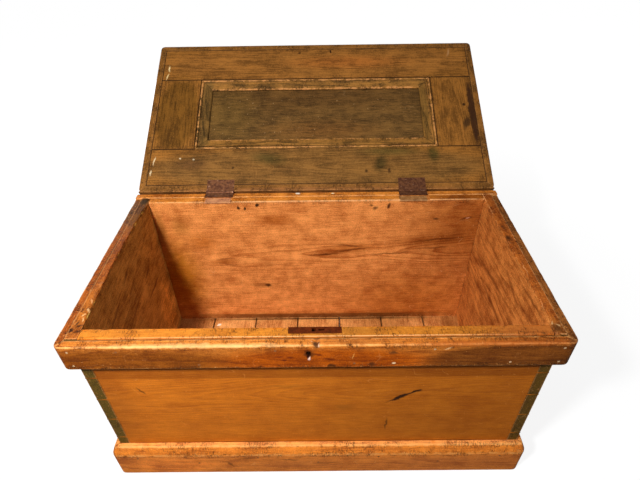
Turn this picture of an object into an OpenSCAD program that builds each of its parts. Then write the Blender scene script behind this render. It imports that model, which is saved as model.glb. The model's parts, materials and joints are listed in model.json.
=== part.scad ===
// Blanket chest: a dovetailed pine case with a skirt, a plinth and a framed lid.
// The lid stands open, leaning back past upright on two butt hinges.
// The origin is the centre of the case on the ground, with X along the front
// and Y towards the hinges.

/* [Case] */
// Width of the case across its boards
case_w = 950; // [800:10:1200]
// Depth of the case across its boards
case_d = 490; // [400:10:640]
// Height of the case's boards
case_h = 458; // [380:1:560]
// Thickness of the front, back and side boards
board_t = 24; // [20:1:28]
// Rounding of the case's upright corners
case_corner_r = 1.5; // [0.5:0.5:4]

/* [Floor] */
// Thickness of the floor boards
floor_t = 18; // [12:1:25]
// Height of the floor boards' underside above the ground
floor_lift = 12; // [6:1:30]
// Number of floor boards, laid front to back
floor_boards = 7; // [5:1:8]
// Shrinkage gap between two floor boards
floor_gap = 1.6; // [0.4:0.2:3]

/* [Dovetails] */
// Distance from one pin to the next
pin_pitch = 76.5; // [60:0.5:90]
// Height of a pin on the face of the front board
pin_h = 2.8; // [2:0.2:8]
// Slope of a pin's sides, one in this many
pin_slope = 6; // [5:1:8]
// Height of the lowest pin above the ground at the left corners
left_pin_z = 58; // [50:0.5:70]
// Height of the lowest pin above the ground at the right corners
right_pin_z = 62.5; // [50:0.5:70]

/* [Skirt] */
// Thickness of the skirt on the front and sides
skirt_t = 19; // [14:1:24]
// Height of the skirt
skirt_h = 68; // [58:1:90]
// Step from the top of the case down to the top of the skirt
skirt_drop = 3.5; // [1:0.5:8]
// Rounding of the skirt's outer edges
skirt_edge_r = 4; // [1:0.5:6]
// Rounding of the skirt's upright corners
skirt_corner_r = 6; // [3:1:12]
// Thickness of the batten that carries the hinges along the back
batten_t = 20; // [17:1:24]
// Height of that batten
batten_h = 70; // [55:1:100]

/* [Plinth] */
// Thickness of the plinth
plinth_t = 21; // [16:1:28]
// Height of the plinth
plinth_h = 108; // [90:1:140]
// Width of the flat ledge on the plinth's top
plinth_ledge = 9; // [5:1:12]
// Height of the slope below that ledge
plinth_slope_h = 17; // [8:1:24]
// Rounding of the plinth's upright corners
plinth_corner_r = 6; // [3:1:12]

/* [Lid] */
// Thickness of the lid's frame and rim
lid_t = 22; // [20:1:28]
// Width of the front and back rails
rail_w = 119; // [90:1:140]
// Width of the two stiles
stile_w = 123; // [90:1:140]
// Length of the tenons on the stiles
tenon_len = 40; // [25:1:60]
// Shoulder beside each tenon
tenon_shoulder = 15; // [12:1:25]
// Rounding of the rim's outer edges
rim_edge_r = 3; // [1:0.5:5]
// Rounding of the rim's corners
rim_corner_r = 8; // [3:1:12]
// Gap between the closed lid and the case
lid_gap = 0.3; // [0.3:0.1:1]
// Angle from the closed lid to the open one
open_angle = 150.5; // [95:0.5:175]

/* [Panel] */
// Depth of the panel's face inside the frame
panel_depth = 11; // [10:0.5:12]
// Thickness of the panel
panel_t = 9; // [7.5:0.5:10]
// Width of the groove that holds the panel
groove_t = 6; // [5:0.5:7]
// Depth of that groove
groove_depth = 10; // [7:1:11]
// Room for the panel to swell in its groove
swell_gap = 1; // [0.5:0.5:3]
// Width of the moulding round the panel
moulding_w = 36; // [28:1:44]
// Radius of the bead on the moulding's outer edge
bead_r = 4; // [3:0.5:5]
// Radius of the nose on the moulding's inner edge
nose_r = 4; // [2:0.5:5]

/* [Hinges] */
// Distance from the end of the case to the middle of a hinge
hinge_end = 209; // [120:1:240]
// Length of a hinge
hinge_len = 76; // [60:1:90]
// Thickness of a leaf
leaf_t = 2.5; // [2:0.25:3]
// Width of the leaf on the case, from the pin
case_leaf_w = 23; // [20:1:30]
// Width of the leaf on the lid, from the pin
lid_leaf_w = 40; // [34:1:50]
// Outer radius of the knuckles
knuckle_r = 3.75; // [3.5:0.25:5]
// Radius of the pin
pin_r = 1.75; // [1.5:0.25:2]
// Number of knuckles
knuckles = 5; // [3:2:7]
// Play of a turning knuckle round its pin
knuckle_play = 0.05; // [0.02:0.01:0.1]
// Gap between two knuckles, and between a knuckle and the other leaf
knuckle_gap = 0.4; // [0.3:0.1:0.8]
// Room at each end of a hinge in its mortise in the case
mortise_room = 1.5; // [0.5:0.5:4]

/* [Lock] */
// Width of the lock's plates
plate_w = 103; // [90:1:120]
// Depth of the top plate, from the inside of the front board
top_plate_d = 16.5; // [15:0.5:18]
// Thickness of the lock's plates
plate_t = 2; // [1.5:0.25:2.5]
// Height of the back plate
plate_h = 62; // [58:1:70]
// Width of the lock's cap
cap_w = 72; // [68:1:80]
// Height of the lock's cap, below the top plate
cap_h = 54; // [52:1:56]
// Depth of the room inside the cap
cap_room = 10; // [9:0.5:11]
// Thickness of the cap's sheet
cap_t = 1.5; // [1:0.25:2]
// Throw of the bolt
bolt_throw = 8; // [6:0.5:8]
// Thickness of the bolt
bolt_t = 3; // [2.5:0.25:4]
// Play of the bolt on its stumps
bolt_play = 0.05; // [0.02:0.01:0.1]
// Distance of the key's pin from the middle of the lock, to the left
key_x = 12.5; // [10:0.5:14]
// Depth of the key's pin below the top of the case
key_drop = 32; // [30:0.5:34]
// Width of the keyhole
keyhole_w = 10; // [7:0.5:10]
// Height of the keyhole
keyhole_h = 23; // [18:1:24]

/* [Nails and screws] */
// Radius of a nail
nail_r = 1.2; // [0.9:0.1:1.6]
// Radius of a nail's head
nail_head_r = 2.4; // [2:0.1:3]
// Thickness of a nail's head
nail_head_t = 1; // [0.6:0.1:1.5]
// How far a nail reaches into the second piece
nail_bite = 16; // [12:1:18]
// Distance from a board's end to its first nail
nail_margin = 40; // [34:1:60]
// Number of single nails along the front skirt, between a pair at each end
skirt_nail_count = 6; // [4:2:8]
// Length at each end of the front skirt that is left to its pair of nails
skirt_pair_w = 60; // [40:5:80]
// Number of nails along each side of the skirt and plinth
side_nail_count = 4; // [3:1:5]
// Number of nails along the front and back of the plinth
plinth_nail_count = 7; // [5:1:9]
// Number of nails along the batten and along the rim's front and back
batten_nail_count = 5; // [3:2:5]
// How far the nails of a band step up and down from its middle
skirt_zigzag = 20; // [0:1:22]
// The same step in the plinth
plinth_zigzag = 12; // [0:1:14]
// Radius of a hinge screw
screw_r = 1.9; // [1.5:0.1:2.4]
// Radius of a hinge screw's head
screw_head_r = 3.8; // [3.2:0.1:4.2]
// Length of a hinge screw
screw_len = 16; // [12:1:18]
// Radius of a lock screw
lock_screw_r = 1.5; // [1.2:0.1:1.8]
// Radius of a lock screw's head
lock_screw_head_r = 3; // [2.5:0.1:3.5]
// Length of a lock screw
lock_screw_len = 12; // [10:1:14]
// Radius of the fine pins that hold the moulding
moulding_pin_r = 0.8; // [0.6:0.1:1]

/* [Hidden] */
$fn = 48;
FLOOR_NODES = [for (i = [1:floor_boards]) str("floor_board_", i)];
CASE_NODES = [
    "front_board", "back_board", "left_board", "right_board",
    "skirt_front", "skirt_left", "skirt_right", "hinge_batten",
    "plinth_front", "plinth_back", "plinth_left", "plinth_right",
    "skirt_nails", "plinth_nails", "batten_nails", "floor_nails"
];
LOCK_NODES = [
    "lock_plate", "lock_cap", "key_pin", "bolt_stumps", "lock_screws", "lock_bolt", "bolt_spring"
];
HINGE_NODES = [
    "left_case_leaf", "right_case_leaf", "left_lid_leaf", "right_lid_leaf",
    "left_hinge_pin", "right_hinge_pin", "case_leaf_screws", "lid_leaf_screws"
];
LID_NODES = [
    "lid_front_rail", "lid_back_rail", "lid_left_stile", "lid_right_stile", "lid_panel",
    "moulding_front", "moulding_back", "moulding_left", "moulding_right",
    "rim_front", "rim_back", "rim_left", "rim_right", "rim_nails", "moulding_pins"
];

// Room added to a cutting shape where it leaves the wood
over = 1;

// Heights on the case
case_z = floor_lift + floor_t;
case_top = case_z + case_h;
skirt_top = case_top - skirt_drop;
skirt_z = skirt_top - skirt_h;

// Half sizes of the case
half_w = case_w / 2;
half_d = case_d / 2;
front_in = board_t - half_d;

// The hinge line, with the knuckles clear behind the batten
pin_y = half_d + batten_t + knuckle_r;
pin_z = case_top + lid_gap / 2;
hinge_x = half_w - hinge_end;
knuckle_len = hinge_len / knuckles;
front_of_mortise = half_d - board_t - over;

// Levels in the closed lid, counted up from its underside
lid_z = case_top + lid_gap;
panel_z = lid_z + panel_depth;
open_w = case_w - 2 * stile_w;
open_d = case_d - 2 * rail_w;

// The lock, hung from the top of the front board
back_plate_y = front_in - plate_t;
cap_y = back_plate_y - cap_room;
cap_front_y = cap_y - cap_t;
key_z = case_top - key_drop;
cap_top = case_top - plate_t;
cap_z = cap_top - cap_h;
key_pin_r = 1.4;
key_pin_len = cap_room - 1;
bolt_y = back_plate_y - (cap_room - bolt_t) / 2;
bolt_rise = 7;
bolt_z = key_z + bolt_rise;
bolt_h = 12;
bolt_left = -31;
bolt_right = 20;
finger_top = cap_top - 1;
notch_w = 5;
notch_h = 3;
lock_screw_drops = [14, plate_h - 10];
stump_r = 2;
stump_end = 1;
stump_z = bolt_z + bolt_h / 2;
stump_xs = [-16, 10];

// The two slots in the top plate, as left edge, width and depth
plate_slots = [[-6, 8, 8], [7, 11, 5]];
slot_y = back_plate_y - cap_room / 2;

// Fingers that slide under the slots, as left edge and width
bolt_fingers = [[-15.5, 8], [2.7, 3.6]];

// Colours
pine = "peru";
pine_dark = "saddlebrown";
olive_pine = "darkkhaki";
iron = "dimgray";

// A rectangle with rounded corners, centred
module rounded_rect(w, d, r) {
    square([w - 2 * r, d], center = true);
    square([w, d - 2 * r], center = true);
    for (sx = [-1, 1], sy = [-1, 1])
        translate([sx * (w / 2 - r), sy * (d / 2 - r)]) circle(r);
}

// What a rounding of radius r takes off a corner that lies at the origin
module corner_off(r) {
    difference() {
        translate([-over, -over]) square(r + over);
        translate([r, r]) circle(r);
    }
}

// Section of a band, t thick outwards and h high, with its outer edges rounded
module band_section(t, h, r) {
    difference() {
        square([t, h]);
        translate([t, h]) rotate(180) corner_off(r);
        translate([t, 0]) rotate(90) corner_off(r);
    }
}

// Whether a side runs along X, and the turn that takes the front round to it
function is_long(side) = side == "front" || side == "back";
function turn_to(side) = side == "front" ? 0 : side == "right" ? 90 : side == "back" ? 180 : 270;

// A bar with the given section, laid against one side of a w by d block
module bar_on(side, w, d) {
    out = is_long(side) ? d / 2 : w / 2;
    rotate(turn_to(side)) translate([-w, -out, 0]) rotate([90, 0, 90]) linear_extrude(2 * w)
        mirror([1, 0]) children();
}

// A point on the mitre line of a corner, k thicknesses out from the block
function mitre(sx, sy, k, w, d, tx, ty) = [sx * (w / 2 + k * tx), sy * (d / 2 + k * ty)];

// Plan of the mitred piece on one side, for bands ts thick on the sides,
// tf in front and tb at the back; a tb of 0 leaves the back ends square
module mitre_plan(side, w, d, tf, ts, tb) {
    corners = [
        ["front", [[-1, -1, tf], [1, -1, tf]]],
        ["back", [[1, 1, tb], [-1, 1, tb]]],
        ["left", [[-1, 1, tb], [-1, -1, tf]]],
        ["right", [[1, -1, tf], [1, 1, tb]]]
    ];
    ends = corners[search([side], corners)[0]][1];
    a = ends[0];
    b = ends[1];
    polygon([
        mitre(a[0], a[1], -0.9, w, d, ts, a[2]), mitre(a[0], a[1], 2, w, d, ts, a[2]),
        mitre(b[0], b[1], 2, w, d, ts, b[2]), mitre(b[0], b[1], -0.9, w, d, ts, b[2])
    ]);
}

// One piece of a band round a block: its section, its mitres and round corners
module band_piece(side, w, d, tf, ts, tb, z, h, corner_r) {
    difference() {
        intersection() {
            translate([0, 0, z]) bar_on(side, w, d) children();
            translate([0, 0, z - over]) linear_extrude(h + 2 * over)
                mitre_plan(side, w, d, tf, ts, tb);
        }
        translate([0, 0, z - over]) linear_extrude(h + 2 * over) {
            for (sx = [-1, 1]) {
                translate([sx * (w / 2 + ts), -d / 2 - tf]) mirror([sx > 0 ? 1 : 0, 0])
                    corner_off(corner_r);
                if (tb > 0) translate([sx * (w / 2 + ts), d / 2 + tb])
                    mirror([sx > 0 ? 1 : 0, 0]) mirror([0, 1]) corner_off(corner_r);
            }
        }
    }
}

// Places spread evenly over a length, with a margin at each end
function spread(n, length, margin) =
    [for (i = [0:n - 1]) -length / 2 + margin + i * (length - 2 * margin) / (n - 1)];

// A nail driven along +Z, with its head flush at the origin
module nail(length) {
    cylinder(h = nail_head_t, r = nail_head_r);
    cylinder(h = length, r = nail_r);
}

// Nails driven into one side of a block from the face of a band t thick
module nails_on(side, w, d, t, spots) {
    out = is_long(side) ? d / 2 : w / 2;
    for (p = spots)
        rotate(turn_to(side)) translate([p[0], -out - t, p[1]]) rotate([-90, 0, 0])
            nail(t + nail_bite);
}

// Where the nails of each band go, as place along it and height
function zigzag(n, length, z, rise) =
    [for (i = [0:n - 1]) [spread(n, length, nail_margin)[i], z + (i % 2 == 0 ? rise : -rise)]];
skirt_mid = skirt_z + skirt_h / 2;
skirt_pair_x = half_w - board_t * 0.3;
skirt_pairs = [
    for (sx = [-1, 1], sz = [-1, 1]) [sx * skirt_pair_x, skirt_mid + sz * skirt_zigzag]
];
function skirt_spots(side) = is_long(side)
    ? concat(skirt_pairs,
        zigzag(skirt_nail_count, case_w - 2 * skirt_pair_w, skirt_mid, skirt_zigzag))
    : zigzag(side_nail_count, case_d, skirt_mid, skirt_zigzag);
function plinth_spots(side) = zigzag(
    is_long(side) ? plinth_nail_count : side_nail_count, is_long(side) ? case_w : case_d,
    (case_z + plinth_h - plinth_slope_h) / 2, plinth_zigzag);
batten_spots = zigzag(batten_nail_count, case_w, case_top - batten_h / 2, skirt_zigzag * 0.9);
rim_spots = zigzag(batten_nail_count, case_w, lid_z + lid_t / 2, 0);

// One nail into the end of each rail and one into the stile between them
rim_side_y = half_d - (rail_w - tenon_len) / 2;
rim_side_spots = [for (k = [-1, 0, 1]) [k * rim_side_y, lid_z + lid_t / 2]];

module skirt_nails_in(side) {
    nails_on(side, case_w, case_d, skirt_t, skirt_spots(side));
}

module plinth_nails_in(side) {
    nails_on(side, case_w, case_d, plinth_t, plinth_spots(side));
}

module batten_nails_in() {
    nails_on("back", case_w, case_d, batten_t, batten_spots);
}

// Nails through the floor into the front and back boards, two at each board end
floor_board_w = (case_w - (floor_boards - 1) * floor_gap) / floor_boards;
function floor_board_x(i) = -half_w + (i - 1) * (floor_board_w + floor_gap);
floor_nail_places = [0.26, 0.74];
floor_nail_len = floor_t + 1.5 * nail_bite;
module floor_nails_in(i) {
    for (k = floor_nail_places, sy = [-1, 1])
        translate([floor_board_x(i) + k * floor_board_w, sy * (half_d - board_t / 2), floor_lift])
            nail(floor_nail_len);
}

// Pins at one corner; sx picks the left or right side, sy the front or back
module pins(sx, sy) {
    first = sx < 0 ? left_pin_z : right_pin_z;
    flare = board_t / pin_slope;
    count = floor((case_top - 2 * pin_h - flare - first) / pin_pitch) + 1;
    for (i = [0:count - 1])
        translate([sx < 0 ? -half_w : half_w - board_t, 0, first + i * pin_pitch])
            rotate([90, 0, 90]) linear_extrude(board_t) polygon([
                [sy * half_d, -pin_h / 2], [sy * half_d, pin_h / 2],
                [sy * (half_d - board_t), pin_h / 2 + flare],
                [sy * (half_d - board_t), -pin_h / 2 - flare]
            ]);
}

// The front or back board between the side boards, with its pins
module pinned_board(sy) {
    translate([board_t - half_w, sy < 0 ? -half_d : half_d - board_t, case_z])
        cube([case_w - 2 * board_t, board_t, case_h]);
    intersection() {
        union() {
            pins(-1, sy);
            pins(1, sy);
        }
        case_prism();
    }
}

// The whole case as one block with its corners eased
module case_prism() {
    translate([0, 0, case_z]) linear_extrude(case_h)
        rounded_rect(case_w, case_d, case_corner_r);
}

// A side board with the gaps that its tails leave for the pins
module tailed_board(sx) {
    difference() {
        intersection() {
            translate([sx < 0 ? -half_w : half_w - board_t, -half_d - over, case_z])
                cube([board_t, case_d + 2 * over, case_h]);
            case_prism();
        }
        pins(sx, -1);
        pins(sx, 1);
    }
}

// Where a hinge sits on the case, open to the back and to the inside
module case_mortise(sx) {
    translate([sx * hinge_x - hinge_len / 2 - mortise_room, front_of_mortise, case_top - leaf_t])
        cube([hinge_len + 2 * mortise_room, pin_y - front_of_mortise, leaf_t + over]);
}

// Where a hinge sits in the underside of the lid
module lid_mortise(sx) {
    translate([sx * hinge_x - hinge_len / 2, pin_y - lid_leaf_w, lid_z - over])
        cube([hinge_len, lid_leaf_w + over, leaf_t + over]);
}

// The keyhole, cut straight back from the skirt's face to the lock
module keyhole() {
    slot_w = keyhole_w * 0.55;
    translate([-key_x, -half_d - skirt_t - over, key_z]) rotate([-90, 0, 0])
        linear_extrude(skirt_t + board_t) {
            translate([0, -(keyhole_h - keyhole_w) / 2]) circle(d = keyhole_w);
            translate([-slot_w / 2, -(keyhole_h - keyhole_w) / 2])
                square([slot_w, keyhole_h - keyhole_w / 2]);
        }
}

// The room that the lock takes in the front board
module lock_mortise() {
    translate([-plate_w / 2, back_plate_y, case_top - plate_h])
        cube([plate_w, plate_t + over, plate_h + over]);
    translate([-plate_w / 2, front_in - top_plate_d, cap_top])
        cube([plate_w, top_plate_d + over, plate_t + over]);
    translate([-cap_w / 2, cap_front_y, cap_z]) cube([cap_w, cap_room + cap_t + over, cap_h + over]);
}

module front_board() {
    color(pine) difference() {
        pinned_board(-1);
        lock_mortise();
        keyhole();
        lock_screw_spots() lock_screw();
        skirt_nails_in("front");
        plinth_nails_in("front");
        for (i = [1:floor_boards]) floor_nails_in(i);
    }
}

module back_board() {
    color(pine) difference() {
        pinned_board(1);
        case_mortise(-1);
        case_mortise(1);
        batten_nails_in();
        plinth_nails_in("back");
        for (i = [1:floor_boards]) floor_nails_in(i);
    }
}

module side_board(side, sx) {
    color(pine) difference() {
        tailed_board(sx);
        skirt_nails_in("front");
        skirt_nails_in(side);
        plinth_nails_in(side);
    }
}

module left_board() {
    side_board("left", -1);
}

module right_board() {
    side_board("right", 1);
}

module floor_board(i) {
    color(pine) difference() {
        translate([floor_board_x(i), -half_d, floor_lift]) cube([floor_board_w, case_d, floor_t]);
        floor_nails_in(i);
    }
}

module skirt_piece(side) {
    color(pine_dark) difference() {
        band_piece(side, case_w, case_d, skirt_t, skirt_t, 0, skirt_z, skirt_h, skirt_corner_r)
            band_section(skirt_t, skirt_h, skirt_edge_r);
        skirt_nails_in(side);
        if (side == "front") keyhole();
    }
}

module skirt_front() {
    skirt_piece("front");
}

module skirt_left() {
    skirt_piece("left");
}

module skirt_right() {
    skirt_piece("right");
}

// The batten along the back, which covers the ends of the skirt
module hinge_batten() {
    color(pine_dark) difference() {
        translate([-half_w - skirt_t, half_d, case_top - batten_h])
            cube([case_w + 2 * skirt_t, batten_t, batten_h]);
        for (sx = [-1, 1]) case_mortise(sx);
        batten_nails_in();
        case_screw_spots() screw();
    }
}

module plinth_piece(side) {
    color(pine) difference() {
        band_piece(side, case_w, case_d, plinth_t, plinth_t, plinth_t, 0, plinth_h, plinth_corner_r)
            polygon([
                [0, 0], [plinth_t, 0], [plinth_t, plinth_h - plinth_slope_h],
                [plinth_ledge, plinth_h], [0, plinth_h]
            ]);
        plinth_nails_in(side);
    }
}

module plinth_front() {
    plinth_piece("front");
}

module plinth_back() {
    plinth_piece("back");
}

module plinth_left() {
    plinth_piece("left");
}

module plinth_right() {
    plinth_piece("right");
}

module skirt_nails() {
    color(iron) for (side = ["front", "left", "right"]) skirt_nails_in(side);
}

module plinth_nails() {
    color(iron) for (side = ["front", "back", "left", "right"]) plinth_nails_in(side);
}

module batten_nails() {
    color(iron) batten_nails_in();
}

module floor_nails() {
    color(iron) for (i = [1:floor_boards]) floor_nails_in(i);
}

// Top plate and back plate in one, with slots for the lid's staples
module lock_plate() {
    color(iron) difference() {
        union() {
            translate([-plate_w / 2, back_plate_y, case_top - plate_h])
                cube([plate_w, plate_t, plate_h]);
            translate([-plate_w / 2, front_in - top_plate_d, cap_top])
                cube([plate_w, top_plate_d, plate_t]);
        }
        for (s = plate_slots)
            translate([s[0], slot_y - s[2] / 2, cap_top - over])
                cube([s[1], s[2], plate_t + 2 * over]);
        lock_screw_spots() lock_screw();
    }
}

// The sheet box that covers the works, open towards the back plate
module lock_cap() {
    color(iron) difference() {
        translate([-cap_w / 2, cap_front_y, cap_z]) cube([cap_w, cap_room + cap_t, cap_h]);
        translate([cap_t - cap_w / 2, cap_y, cap_z + cap_t])
            cube([cap_w - 2 * cap_t, cap_room + over, cap_h]);
        keyhole();
    }
}

// The pin that the key turns on
module key_pin() {
    color(iron) translate([-key_x, back_plate_y, key_z]) rotate([90, 0, 0])
        cylinder(h = key_pin_len, r = key_pin_r);
}

// Two studs on the back plate that the bolt slides on
module bolt_stumps() {
    color(iron) for (x = stump_xs)
        translate([x, back_plate_y, stump_z]) rotate([90, 0, 0])
            cylinder(h = back_plate_y - bolt_y + bolt_t + stump_end, r = stump_r);
}

// The bolt, drawn back, with a notch for the key and a slot for each stump
module lock_bolt() {
    color(iron) translate([0, bolt_y, 0]) rotate([90, 0, 0]) linear_extrude(bolt_t) difference() {
        union() {
            translate([bolt_left, bolt_z]) square([bolt_right - bolt_left, bolt_h]);
            for (f = bolt_fingers)
                translate([f[0], bolt_z]) square([f[1], finger_top - bolt_z]);
        }
        for (x = stump_xs) {
            r = stump_r + bolt_play;
            translate([x, stump_z]) circle(r);
            translate([x - bolt_throw, stump_z]) circle(r);
            translate([x - bolt_throw, stump_z - r]) square([bolt_throw, 2 * r]);
        }
        translate([-key_x - notch_w, bolt_z - over]) square([notch_w, over + notch_h]);
    }
}

// A bent leaf spring, riveted to the bolt, that reaches up to the top plate
module bolt_spring() {
    spring_t = 0.8;
    spring_w = 2;
    foot = bolt_z + bolt_h;
    tip = cap_top - 0.3;
    color(iron) translate([0, bolt_y - (bolt_t - spring_w) / 2, 0]) rotate([90, 0, 0])
        linear_extrude(spring_w) polygon([
            [bolt_left + 1, foot], [bolt_left + 7, foot],
            [bolt_left + 13, tip - spring_t / 2], [bolt_left + 13 - spring_t, tip],
            [bolt_left + 6, foot + spring_t], [bolt_left + 1, foot + spring_t]
        ]);
}

// Screws through the back plate, outside the cap
module lock_screw_spots() {
    inset = (plate_w - cap_w) / 4;
    for (sx = [-1, 1], drop = lock_screw_drops)
        translate([sx * (plate_w / 2 - inset), front_in, case_top - drop]) rotate([90, 0, 0])
            children();
}

module lock_screw() {
    cylinder(h = plate_t, r1 = lock_screw_head_r, r2 = lock_screw_r);
    cylinder(h = lock_screw_len, r = lock_screw_r);
}

module lock_screws() {
    color(iron) lock_screw_spots() lock_screw();
}

// A countersunk wood screw driven along -Z from a head that lies flush at the origin
module screw() {
    sink = screw_head_r - screw_r;
    translate([0, 0, -sink]) cylinder(h = sink, r1 = screw_r, r2 = screw_head_r);
    translate([0, 0, -screw_len]) cylinder(h = screw_len, r = screw_r);
}

module slotted_screw() {
    slot = screw_head_r / 5;
    difference() {
        screw();
        translate([-screw_head_r, -slot / 2, -slot]) cube([2 * screw_head_r, slot, slot + over]);
    }
}

// Screws of the case leaves: one row of three in the batten
case_screw_y = half_d + batten_t / 2;
case_screw_step = 0.34 * hinge_len;
module case_screw_spots() {
    for (sx = [-1, 1], k = [-1, 0, 1])
        translate([sx * hinge_x + k * case_screw_step, case_screw_y, case_top]) children();
}

// Screws of the lid leaves, staggered, two in the rim and two in the rail
lid_screw_spots_xy = [[-0.36, 0.72], [-0.12, 0.34], [0.12, 0.72], [0.36, 0.34]];
module lid_screw_spots() {
    for (sx = [-1, 1], p = lid_screw_spots_xy)
        translate([sx * hinge_x + p[0] * hinge_len, pin_y - p[1] * lid_leaf_w, lid_z])
            mirror([0, 0, 1]) children();
}

// Places the closed lid's parts as they lie when the lid stands open
module opened() {
    translate([0, pin_y, pin_z]) rotate([-open_angle, 0, 0]) translate([0, -pin_y, -pin_z])
        children();
}

// Knuckles number from, from + 2 and so on, grown by g all round
module knuckle_row(sx, from, g) {
    for (i = [from:2:knuckles - 1])
        translate([sx * hinge_x - hinge_len / 2 + i * knuckle_len + knuckle_gap / 2 - g, pin_y, pin_z])
            rotate([0, 90, 0]) cylinder(h = knuckle_len - knuckle_gap + 2 * g, r = knuckle_r + g);
}

// A leaf plate from the pin forwards, with its face at one side of the joint
module leaf_plate(sx, w, z) {
    translate([sx * hinge_x - hinge_len / 2 + knuckle_gap / 2, pin_y - w, z])
        cube([hinge_len - knuckle_gap, w, leaf_t]);
}

module pin_bore(sx, r) {
    translate([sx * hinge_x - hinge_len / 2 - over, pin_y, pin_z]) rotate([0, 90, 0])
        cylinder(h = hinge_len + 2 * over, r = r);
}

module case_leaf(sx) {
    color(iron) difference() {
        union() {
            difference() {
                leaf_plate(sx, case_leaf_w, case_top - leaf_t);
                knuckle_row(sx, 1, knuckle_gap);
            }
            knuckle_row(sx, 0, 0);
        }
        pin_bore(sx, pin_r);
        case_screw_spots() screw();
    }
}

module lid_leaf(sx) {
    color(iron) opened() difference() {
        union() {
            difference() {
                leaf_plate(sx, lid_leaf_w, lid_z);
                knuckle_row(sx, 0, knuckle_gap);
            }
            knuckle_row(sx, 1, 0);
        }
        pin_bore(sx, pin_r + knuckle_play);
        lid_screw_spots() screw();
    }
}

module left_case_leaf() {
    case_leaf(-1);
}

module right_case_leaf() {
    case_leaf(1);
}

module left_lid_leaf() {
    lid_leaf(-1);
}

module right_lid_leaf() {
    lid_leaf(1);
}

module hinge_pin(sx) {
    color(iron) translate([sx * hinge_x - hinge_len / 2 + knuckle_gap / 2, pin_y, pin_z])
        rotate([0, 90, 0]) cylinder(h = hinge_len - knuckle_gap, r = pin_r);
}

module left_hinge_pin() {
    hinge_pin(-1);
}

module right_hinge_pin() {
    hinge_pin(1);
}

module case_leaf_screws() {
    color(iron) case_screw_spots() slotted_screw();
}

module lid_leaf_screws() {
    color(iron) opened() lid_screw_spots() slotted_screw();
}

// The groove in the frame's inner edges, as the space that the panel may fill
module panel_space(grow, z, h) {
    translate([-open_w / 2 - grow, -open_d / 2 - grow, z])
        cube([open_w + 2 * grow, open_d + 2 * grow, h]);
}

// The two tenons of a stile, or their mortises when they are given more length
module tenons(sx, length) {
    inner_shoulder = tenon_shoulder / 3;
    tenon_w = stile_w - groove_depth - tenon_shoulder - inner_shoulder;
    near = open_w / 2 + groove_depth + inner_shoulder;
    translate([sx > 0 ? near : -near - tenon_w, -open_d / 2 - length, panel_z])
        cube([tenon_w, open_d + 2 * length, groove_t]);
}

module lid_rail(sy) {
    color(olive_pine) opened() difference() {
        translate([-half_w, sy < 0 ? -half_d : half_d - rail_w, lid_z])
            cube([case_w, rail_w, lid_t]);
        panel_space(groove_depth, panel_z, groove_t);
        for (sx = [-1, 1]) tenons(sx, tenon_len + 1);
        if (sy > 0) {
            for (sx = [-1, 1]) lid_mortise(sx);
            lid_screw_spots() screw();
        }
        rim_nails_in(sy < 0 ? "front" : "back");
        rim_nails_in("left");
        rim_nails_in("right");
    }
}

module lid_front_rail() {
    lid_rail(-1);
}

module lid_back_rail() {
    lid_rail(1);
}

module lid_stile(sx) {
    color(olive_pine) opened() difference() {
        union() {
            translate([sx < 0 ? -half_w : open_w / 2, -open_d / 2, lid_z])
                cube([stile_w, open_d, lid_t]);
            tenons(sx, tenon_len);
        }
        panel_space(groove_depth, panel_z, groove_t);
        rim_nails_in(sx < 0 ? "left" : "right");
    }
}

module lid_left_stile() {
    lid_stile(-1);
}

module lid_right_stile() {
    lid_stile(1);
}

// A plain panel with a tongue all round that lies in the frame's groove
module lid_panel() {
    color(olive_pine) opened() difference() {
        union() {
            panel_space(groove_depth - swell_gap, panel_z, groove_t);
            panel_space(-swell_gap, panel_z, panel_t);
        }
        moulding_pin_spots() moulding_pin();
    }
}

// Section of the moulding: x runs in from the frame and y down from the panel
module moulding_section() {
    quirk = 1;
    rise = panel_depth - bead_r;
    square([2 * bead_r, rise]);
    translate([bead_r, rise]) circle(bead_r);
    polygon([
        [bead_r, 0], [moulding_w, 0], [moulding_w, nose_r * 0.4],
        [moulding_w - nose_r, nose_r * 1.4], [2 * bead_r + quirk, panel_depth - quirk],
        [2 * bead_r, rise - quirk]
    ]);
    translate([moulding_w - nose_r, nose_r * 0.4]) circle(nose_r);
}

// One mitred length of the moulding, planted on the panel against the frame
module moulding_piece(side) {
    color(olive_pine) opened() difference() {
        intersection() {
            translate([0, 0, panel_z]) mirror([0, 0, 1])
                bar_on(side, open_w, open_d) intersection() {
                    mirror([1, 0]) moulding_section();
                    translate([-moulding_w, 0]) square([moulding_w, 2 * panel_depth]);
                }
            translate([0, 0, lid_z - over]) linear_extrude(panel_depth + 2 * over)
                inner_mitre_plan(side);
        }
        moulding_pin_spots() moulding_pin();
    }
}

// Plan of a mitred strip that lies inside the opening, along one of its sides
module inner_mitre_plan(side) {
    along = (is_long(side) ? open_w : open_d) / 2;
    across = (is_long(side) ? open_d : open_w) / 2;
    rotate(turn_to(side)) polygon([
        [-along - over, -across - over], [along + over, -across - over],
        [along - moulding_w - over, moulding_w + over - across],
        [moulding_w + over - along, moulding_w + over - across]
    ]);
}

module moulding_front() {
    moulding_piece("front");
}

module moulding_back() {
    moulding_piece("back");
}

module moulding_left() {
    moulding_piece("left");
}

module moulding_right() {
    moulding_piece("right");
}

// Fine pins that hold the moulding to the panel, driven in the slope of its face
module moulding_pin_spots() {
    inset = 0.55 * moulding_w;
    margin = 2 * moulding_w;
    for (x = spread(4, open_w, margin), sy = [-1, 1])
        translate([x, sy * (open_d / 2 - inset), panel_z]) children();
    for (y = spread(2, open_d, margin), sx = [-1, 1])
        translate([sx * (open_w / 2 - inset), y, panel_z]) children();
}

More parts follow.
